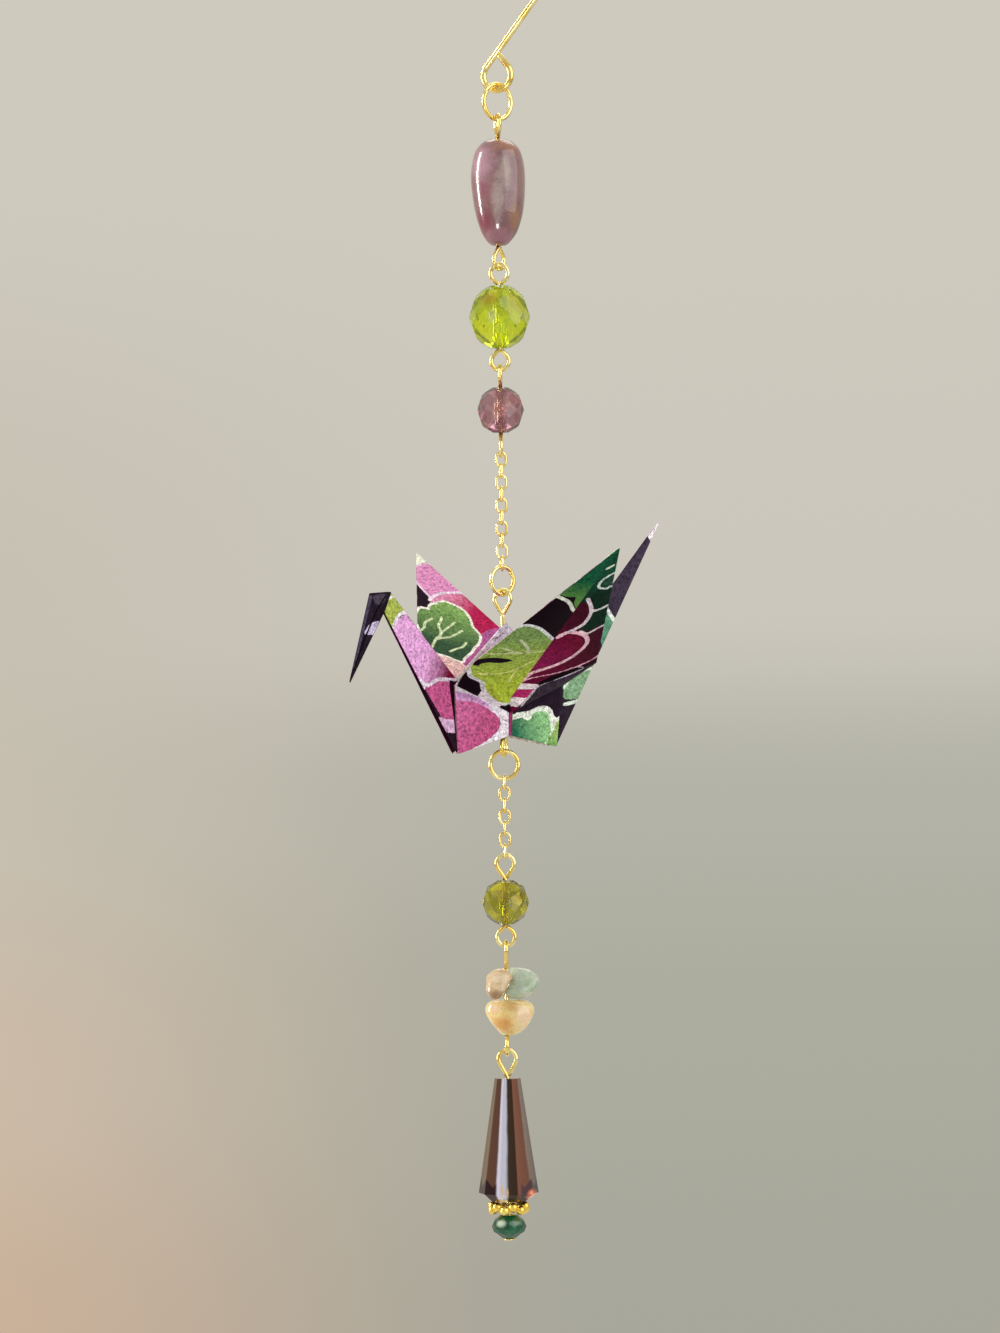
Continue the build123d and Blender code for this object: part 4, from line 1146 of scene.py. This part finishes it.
lay("tail",
    stroke([9.8, 4.3, 10.8, 4.5, 12, 4.8, 13.6, 4.8], 0.27, (220, 232, 220)),
    stroke([9.8, 6.6, 10.5, 7.6, 11.2, 8.4, 12.5, 9, 14.4, 9.4], 0.24, (214, 232, 214)),
    stroke([16.6, 19.4, 17, 18.1, 17.5, 17.2, 18.6, 15.8], 0.34, (222, 230, 224)))

# The most layers that a print has
LAYERS = 6


def printed(name, where):
    """The print's base colour, and for each layer its colour with its depth in millimetres as alpha."""
    inks = [np.column_stack([tone(where, **BASES[name]), np.ones(len(where))])]
    for number in range(LAYERS):
        ink = np.column_stack([np.zeros((len(where), 3)), np.full(len(where), -1.0)])
        for depth, colour, change in MARKS[name][number] if number < len(MARKS[name]) else []:
            deep = depth(where)
            over = deep > ink[:, 3]
            ink[over, :3] = tone(where[over], colour, **change)
            ink[over, 3] = deep[over]
        inks.append(ink)
    return inks


def paper_finish():
    """Printed paper: the layers of ink in order, each with an unsteady edge, and a grain of fibres."""
    finish = Finish("printed_paper", Roughness=0.62, Specular_IOR_Level=0.03)
    wander = finish.sum("MULTIPLY", finish.sum("SUBTRACT", finish.noise(3600.0, 3.0, 0.6), 0.5), 0.22)
    names = [f"ink_{layer}" for layer in range(LAYERS + 1)]
    inks = [finish.add("Attribute", settings={"attribute_name": name}) for name in names]
    colour = inks[0].outputs["Color"]
    for ink in inks[1:]:
        depth = finish.sum("ADD", ink.outputs["Alpha"], wander)
        colour = finish.blend(finish.step(depth, -0.035, 0.035), colour, ink.outputs["Color"])
    finish.bump(finish.noise(7000.0), 0.25, 0.00004)
    return finish.painted(finish.grained(colour, finish.noise(2300.0, 4.0, 0.75, 0.8), 0.34, 0.66, 0.36, 1.5))


tilt = np.array([[cos(CRANE_TILT), 0, sin(CRANE_TILT)], [0, 1, 0], [-sin(CRANE_TILT), 0, cos(CRANE_TILT)]])
turn = np.array([[cos(CRANE_TURN), -sin(CRANE_TURN), 0], [sin(CRANE_TURN), cos(CRANE_TURN), 0], [0, 0, 1]])
crane_way = tilt @ turn
paper = paper_finish()
for wing in WINGS:
    side = WINGS[wing][0]
    for end in ENDS:
        shells = []
        inks = [[] for layer in range(LAYERS + 1)]
        facets = body_facets(wing, end) | leg_facets(end, side)
        for corners, step, swell, outer_print, inner_print in facets.values():
            spots, places = zip(*corners)
            points, faces, uv, outer = leaf_of_paper(spots, places, step, swell, side)
            both = zip(printed(outer_print, uv), printed(inner_print, uv))
            for ink, (outer_ink, inner_ink) in zip(inks, both):
                ink.append(np.where(outer[:, None] == 1, outer_ink, inner_ink))
            shells.append((points @ crane_way.T + np.array([0, 0, crane_base]), faces))
        put(f"crane_{wing}_{end}_side", "crane_pin", ["paper_crane"], "printed_paper", paper, *joined(shells),
            [np.vstack(ink) for ink in inks])


# Camera, light and backdrop

FRAME_TALL = 185.1
CAMERA_AWAY = 700.0
FRAME_MIDDLE = (-0.45, -105.4)
ROLL = 0.6
lens_view = bpy.data.cameras.new("photo_view")
lens_view.sensor_fit = "VERTICAL"
lens_view.sensor_height = 24.0
lens_view.lens = lens_view.sensor_height * CAMERA_AWAY / FRAME_TALL
lens_view.clip_start = 0.01
lens_view.clip_end = 20.0
camera = bpy.data.objects.new("photo_view", lens_view)
bpy.context.scene.collection.objects.link(camera)
camera.location = (FRAME_MIDDLE[0] * MM, -CAMERA_AWAY * MM, FRAME_MIDDLE[1] * MM)
camera.rotation_euler = (pi / 2, radians(ROLL), 0)
bpy.context.scene.camera = camera


def lamp(name, spot_from, wide, tall, power, colour):
    """A soft rectangular lamp aimed at the middle of the strand."""
    light = bpy.data.lights.new(name, "AREA")
    light.shape = "RECTANGLE"
    light.size = wide
    light.size_y = tall
    light.energy = power
    light.color = colour
    holder = bpy.data.objects.new(name, light)
    bpy.context.scene.collection.objects.link(holder)
    holder.location = spot_from
    aim = np.array([0, 0, FRAME_MIDDLE[1] * MM]) - np.array(spot_from)
    level = sqrt(aim[0] ** 2 + aim[1] ** 2)
    holder.rotation_euler = (pi / 2 + np.arctan2(aim[2], level), 0, np.arctan2(-aim[0], aim[1]))


lamp("window_left", (-0.95, -0.02, 0.12), 0.12, 0.75, 8.5, (1.0, 0.98, 0.95))
lamp("soft_right", (0.9, -0.7, 0.3), 1.3, 1.3, 8.0, (1.0, 0.99, 0.97))
lamp("above_back", (0.1, 0.5, 0.8), 0.9, 0.7, 4.0, (1.0, 1.0, 1.0))
lamp("low_front", (-0.1, -0.75, -0.42), 0.2, 0.12, 1.2, (1.0, 0.99, 0.97))

# The room: a wall of soft colours, by the height of the line of sight at its left and right, that the camera
# sees and that polish and glass reflect, and an even light for everything else
WALL_LEFT = [(-0.13, (205, 178, 154)), (-0.08, (206, 188, 168)), (-0.026, (200, 192, 177)),
             (0.013, (198, 192, 178)), (0.11, (206, 202, 190))]
WALL_RIGHT = [(-0.13, (168, 167, 155)), (-0.066, (172, 172, 159)), (-0.026, (180, 179, 167)),
              (0.013, (203, 199, 188)), (0.11, (206, 202, 190))]
WALL_EDGES = (-0.125, 0.02)
world = bpy.data.worlds.new("room")
bpy.context.scene.world = world
world.use_nodes = True
room = Nodes(world.node_tree)
room.tree.nodes.clear()
sight = room.add("SeparateXYZ", room.add("TexCoord").outputs["Generated"]).outputs
sides = []
for marks in (WALL_LEFT, WALL_RIGHT):
    low, high = marks[0][0], marks[-1][0]
    shares = [((where - low) / (high - low), colour) for where, colour in marks]
    sides.append(room.ramp(room.spread(sight["Z"], low, high), shares, "EASE"))
wall = room.blend(room.step(sight["X"], *WALL_EDGES), *sides)
paths = room.add("LightPath").outputs
shown = room.sum("MAXIMUM", paths["Is Camera Ray"], paths["Is Glossy Ray"])
shown = room.sum("MAXIMUM", shown, paths["Is Transmission Ray"])
even_light = room.add("Background", (1.0, 0.985, 0.96, 1.0), 0.6)
either = room.add("MixShader", shown, even_light.outputs[0], room.add("Background", wall).outputs[0])
room.add("OutputWorld", either.outputs[0])

# A pale floor, well below the strand's foot
FLOOR = -260.0
FLOOR_REACH = 400
FLOOR_ROWS = 24
FLOOR_SPOKES = 96
rows = np.linspace(0.5, FLOOR_REACH, FLOOR_ROWS)[:, None]
disc = about_axis(rows, np.full_like(rows, FLOOR), FLOOR_SPOKES)
floor_mesh = bpy.data.meshes.new("floor")
floor_faces = quads(FLOOR_ROWS, FLOOR_SPOKES) + [list(range(FLOOR_SPOKES))]
floor_mesh.from_pydata((disc * MM).tolist(), [], floor_faces)
floor_finish = Finish("pale_floor", Roughness=0.75)
floor_colour = mottled(floor_finish, (206, 202, 192), (198, 193, 182), 9.0)
floor_mesh.materials.append(floor_finish.painted(floor_colour))
floor = bpy.data.objects.new("floor", floor_mesh)
bpy.context.scene.collection.objects.link(floor)

bpy.context.scene.view_settings.view_transform = "Standard"
